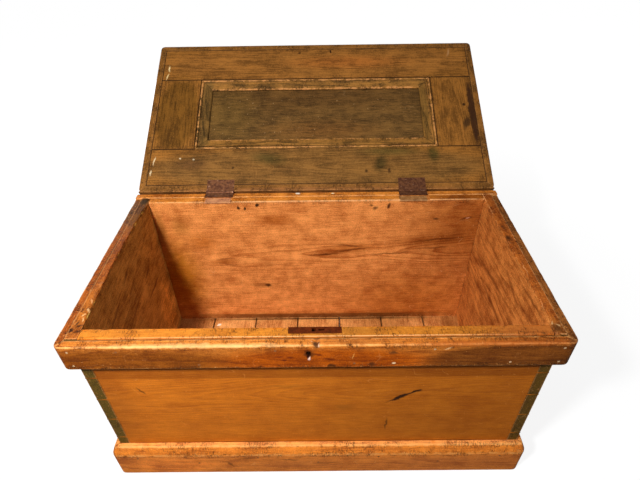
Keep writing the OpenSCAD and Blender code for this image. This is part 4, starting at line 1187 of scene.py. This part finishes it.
# The moulding, in mm from the frame and up from the panel: its width and height, its bead's
# and its nose's middle and radius, its quirk's bottom, its slope's start and fall, the nose's
# edge, and how little it stays off frame and panel
MOULDING_SIZE = (36, 11)
BEAD_AT, BEAD_R = (4, 7), 3.9
NOSE_AT, NOSE_R = (32, 1.7), 3.8
QUIRK_AT = (8.2, 5.4)
SLOPE_FROM, SLOPE_FALL = (9.2, 9.8), (22.8, 4.3)
NOSE_EDGE = (33.5, 4.5)
OFF_FRAME, OFF_PANEL = 0.2, 0.05


def moulding_profile():
    """The moulding's outline: a bead, a quirk, a long slope, and a quarter-round nose, as
    (inwards from the frame, height above the panel)."""
    bead = np.radians(np.linspace(180, 10, 12))
    nose = np.radians(np.linspace(90, 0, 7))
    slope = np.linspace(0, 1, 6)
    x = np.concatenate([
        [OFF_FRAME], BEAD_AT[0] + BEAD_R * np.cos(bead), [QUIRK_AT[0]],
        SLOPE_FROM[0] + SLOPE_FALL[0] * slope, NOSE_AT[0] + NOSE_R * np.cos(nose)[1:],
        [NOSE_AT[0] + NOSE_R, 20, 8]])
    z = np.concatenate([
        [OFF_PANEL], BEAD_AT[1] + BEAD_R * np.sin(bead), [QUIRK_AT[1]],
        SLOPE_FROM[1] - SLOPE_FALL[1] * slope, NOSE_AT[1] + NOSE_R * np.sin(nose)[1:],
        [OFF_PANEL] * 3])
    return np.stack([x, z], 1) * MM


def quirk_dirt(own):
    """Painted shade: dark in the quirk beside the bead, and where the nose meets the panel."""
    quirk = (1 - np.abs(own[:, 1] - 8.3 * MM) / (1.2 * MM)).clip(0, 1)
    foot = (own[:, 1] > 34 * MM) & (own[:, 2] < 2 * MM)
    return np.maximum(quirk, foot) * 0.9


def rubbed_bead(own):
    """How far a point of the moulding is from the top of its bead."""
    return np.abs(own[:, 1] - BEAD_AT[0] * MM)


def rubbed_ridges(own):
    """How far a point of the moulding is from the top of its bead or the edge of its nose."""
    nose = np.hypot(own[:, 1] - NOSE_EDGE[0] * MM, own[:, 2] - NOSE_EDGE[1] * MM)
    return np.minimum(rubbed_bead(own), nose)


def add_moulding():
    """The moulding's four mitred strips, planted on the panel along the frame."""
    for i, (side, (axis, sign)) in enumerate(SIDES.items()):
        halves = opening_half_w, opening_half_d
        reach, base = halves[axis], halves[1 - axis]

        def own_of(points):
            """Along the strip, in from the frame, and up from the panel."""
            return np.stack([points[:, axis] + reach, base - sign * points[:, 1 - axis],
                             panel_z - points[:, 2]], 1)

        add_wood("moulding_" + side, "lid", "panel_pine", moulding_pine,
                 swept(moulding_profile(), side, base, panel_z, reach), own_of,
                 (2 * reach, MOULDING_SIZE[0] * MM, MOULDING_SIZE[1] * MM),
                 (0.02, -0.05, 0, 0), 110 + i, dirt=quirk_dirt,
                 arris=rubbed_ridges if axis == X else rubbed_bead,
                 room=lambda own: np.minimum(own[:, 0], 2 * reach - own[:, 0]) - own[:, 1])


def add_rim():
    """The lid's rim. Its back strip has a thickness of its own, so the mitres there lean."""
    side_t, z0, z1 = strip_size("rim_front", shut=True)
    back_t = node_box("rim_back", shut=True)[1][1] - case_half_d
    for i, side in enumerate(SIDES):
        base, reach = base_and_reach(side)
        start = end = (reach, 1)
        shaping = {"radius": 3 * MM, "corner": outer_corner(side_t, 12 * MM), "seed": 120 + i}
        if side == "back":
            start = end = (reach, side_t / back_t)
            shaping["corner"] = None
        elif side != "front":
            end = (reach, back_t / side_t)
        run = side, base, back_t if side == "back" else side_t, z0, z1, start, end
        add_strip("rim_" + side, "lid", "lid_pine", rim_pine, run, shaping,
                  (0.01, -0.04, 0.01, 0.01), 124 + i, dirt=joint_dirt(0.75, 1.3, 1.5 * MM))


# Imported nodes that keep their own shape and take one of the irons
IRONWORK = (
    (hinge_iron, ("left_case_leaf", "right_case_leaf", "left_lid_leaf", "right_lid_leaf",
                  "left_hinge_pin", "right_hinge_pin", "case_leaf_screws", "lid_leaf_screws")),
    (lock_iron, ("lock_plate", "lock_cap", "key_pin", "bolt_stumps", "lock_screws", "lock_bolt",
                 "bolt_spring")),
    (pale_nail, ("skirt_nails",)),
    (nail_iron, ("plinth_nails", "batten_nails", "floor_nails", "rim_nails", "moulding_pins")),
)

add_camera()
add_floor()
add_world(0.09)
add_lamp("key_lamp", (-0.71, -1.02, 1.7), 0.18, 41)
add_lamp("side_lamp", (1.9, -1.3, 2.3), 0.8, 15)
add_lamp("back_lamp", (-1.3, 2.5, 0.7), 1.4, 30)
for material, nodes in IRONWORK:
    for node in nodes:
        slots = frame["nodes"][node].data.materials
        slots.clear()
        slots.append(material)
add_case()
add_skirt()
add_plinth()
add_floor_boards()
add_frame()
add_moulding()
add_rim()
bpy.context.scene.view_settings.view_transform = "Standard"
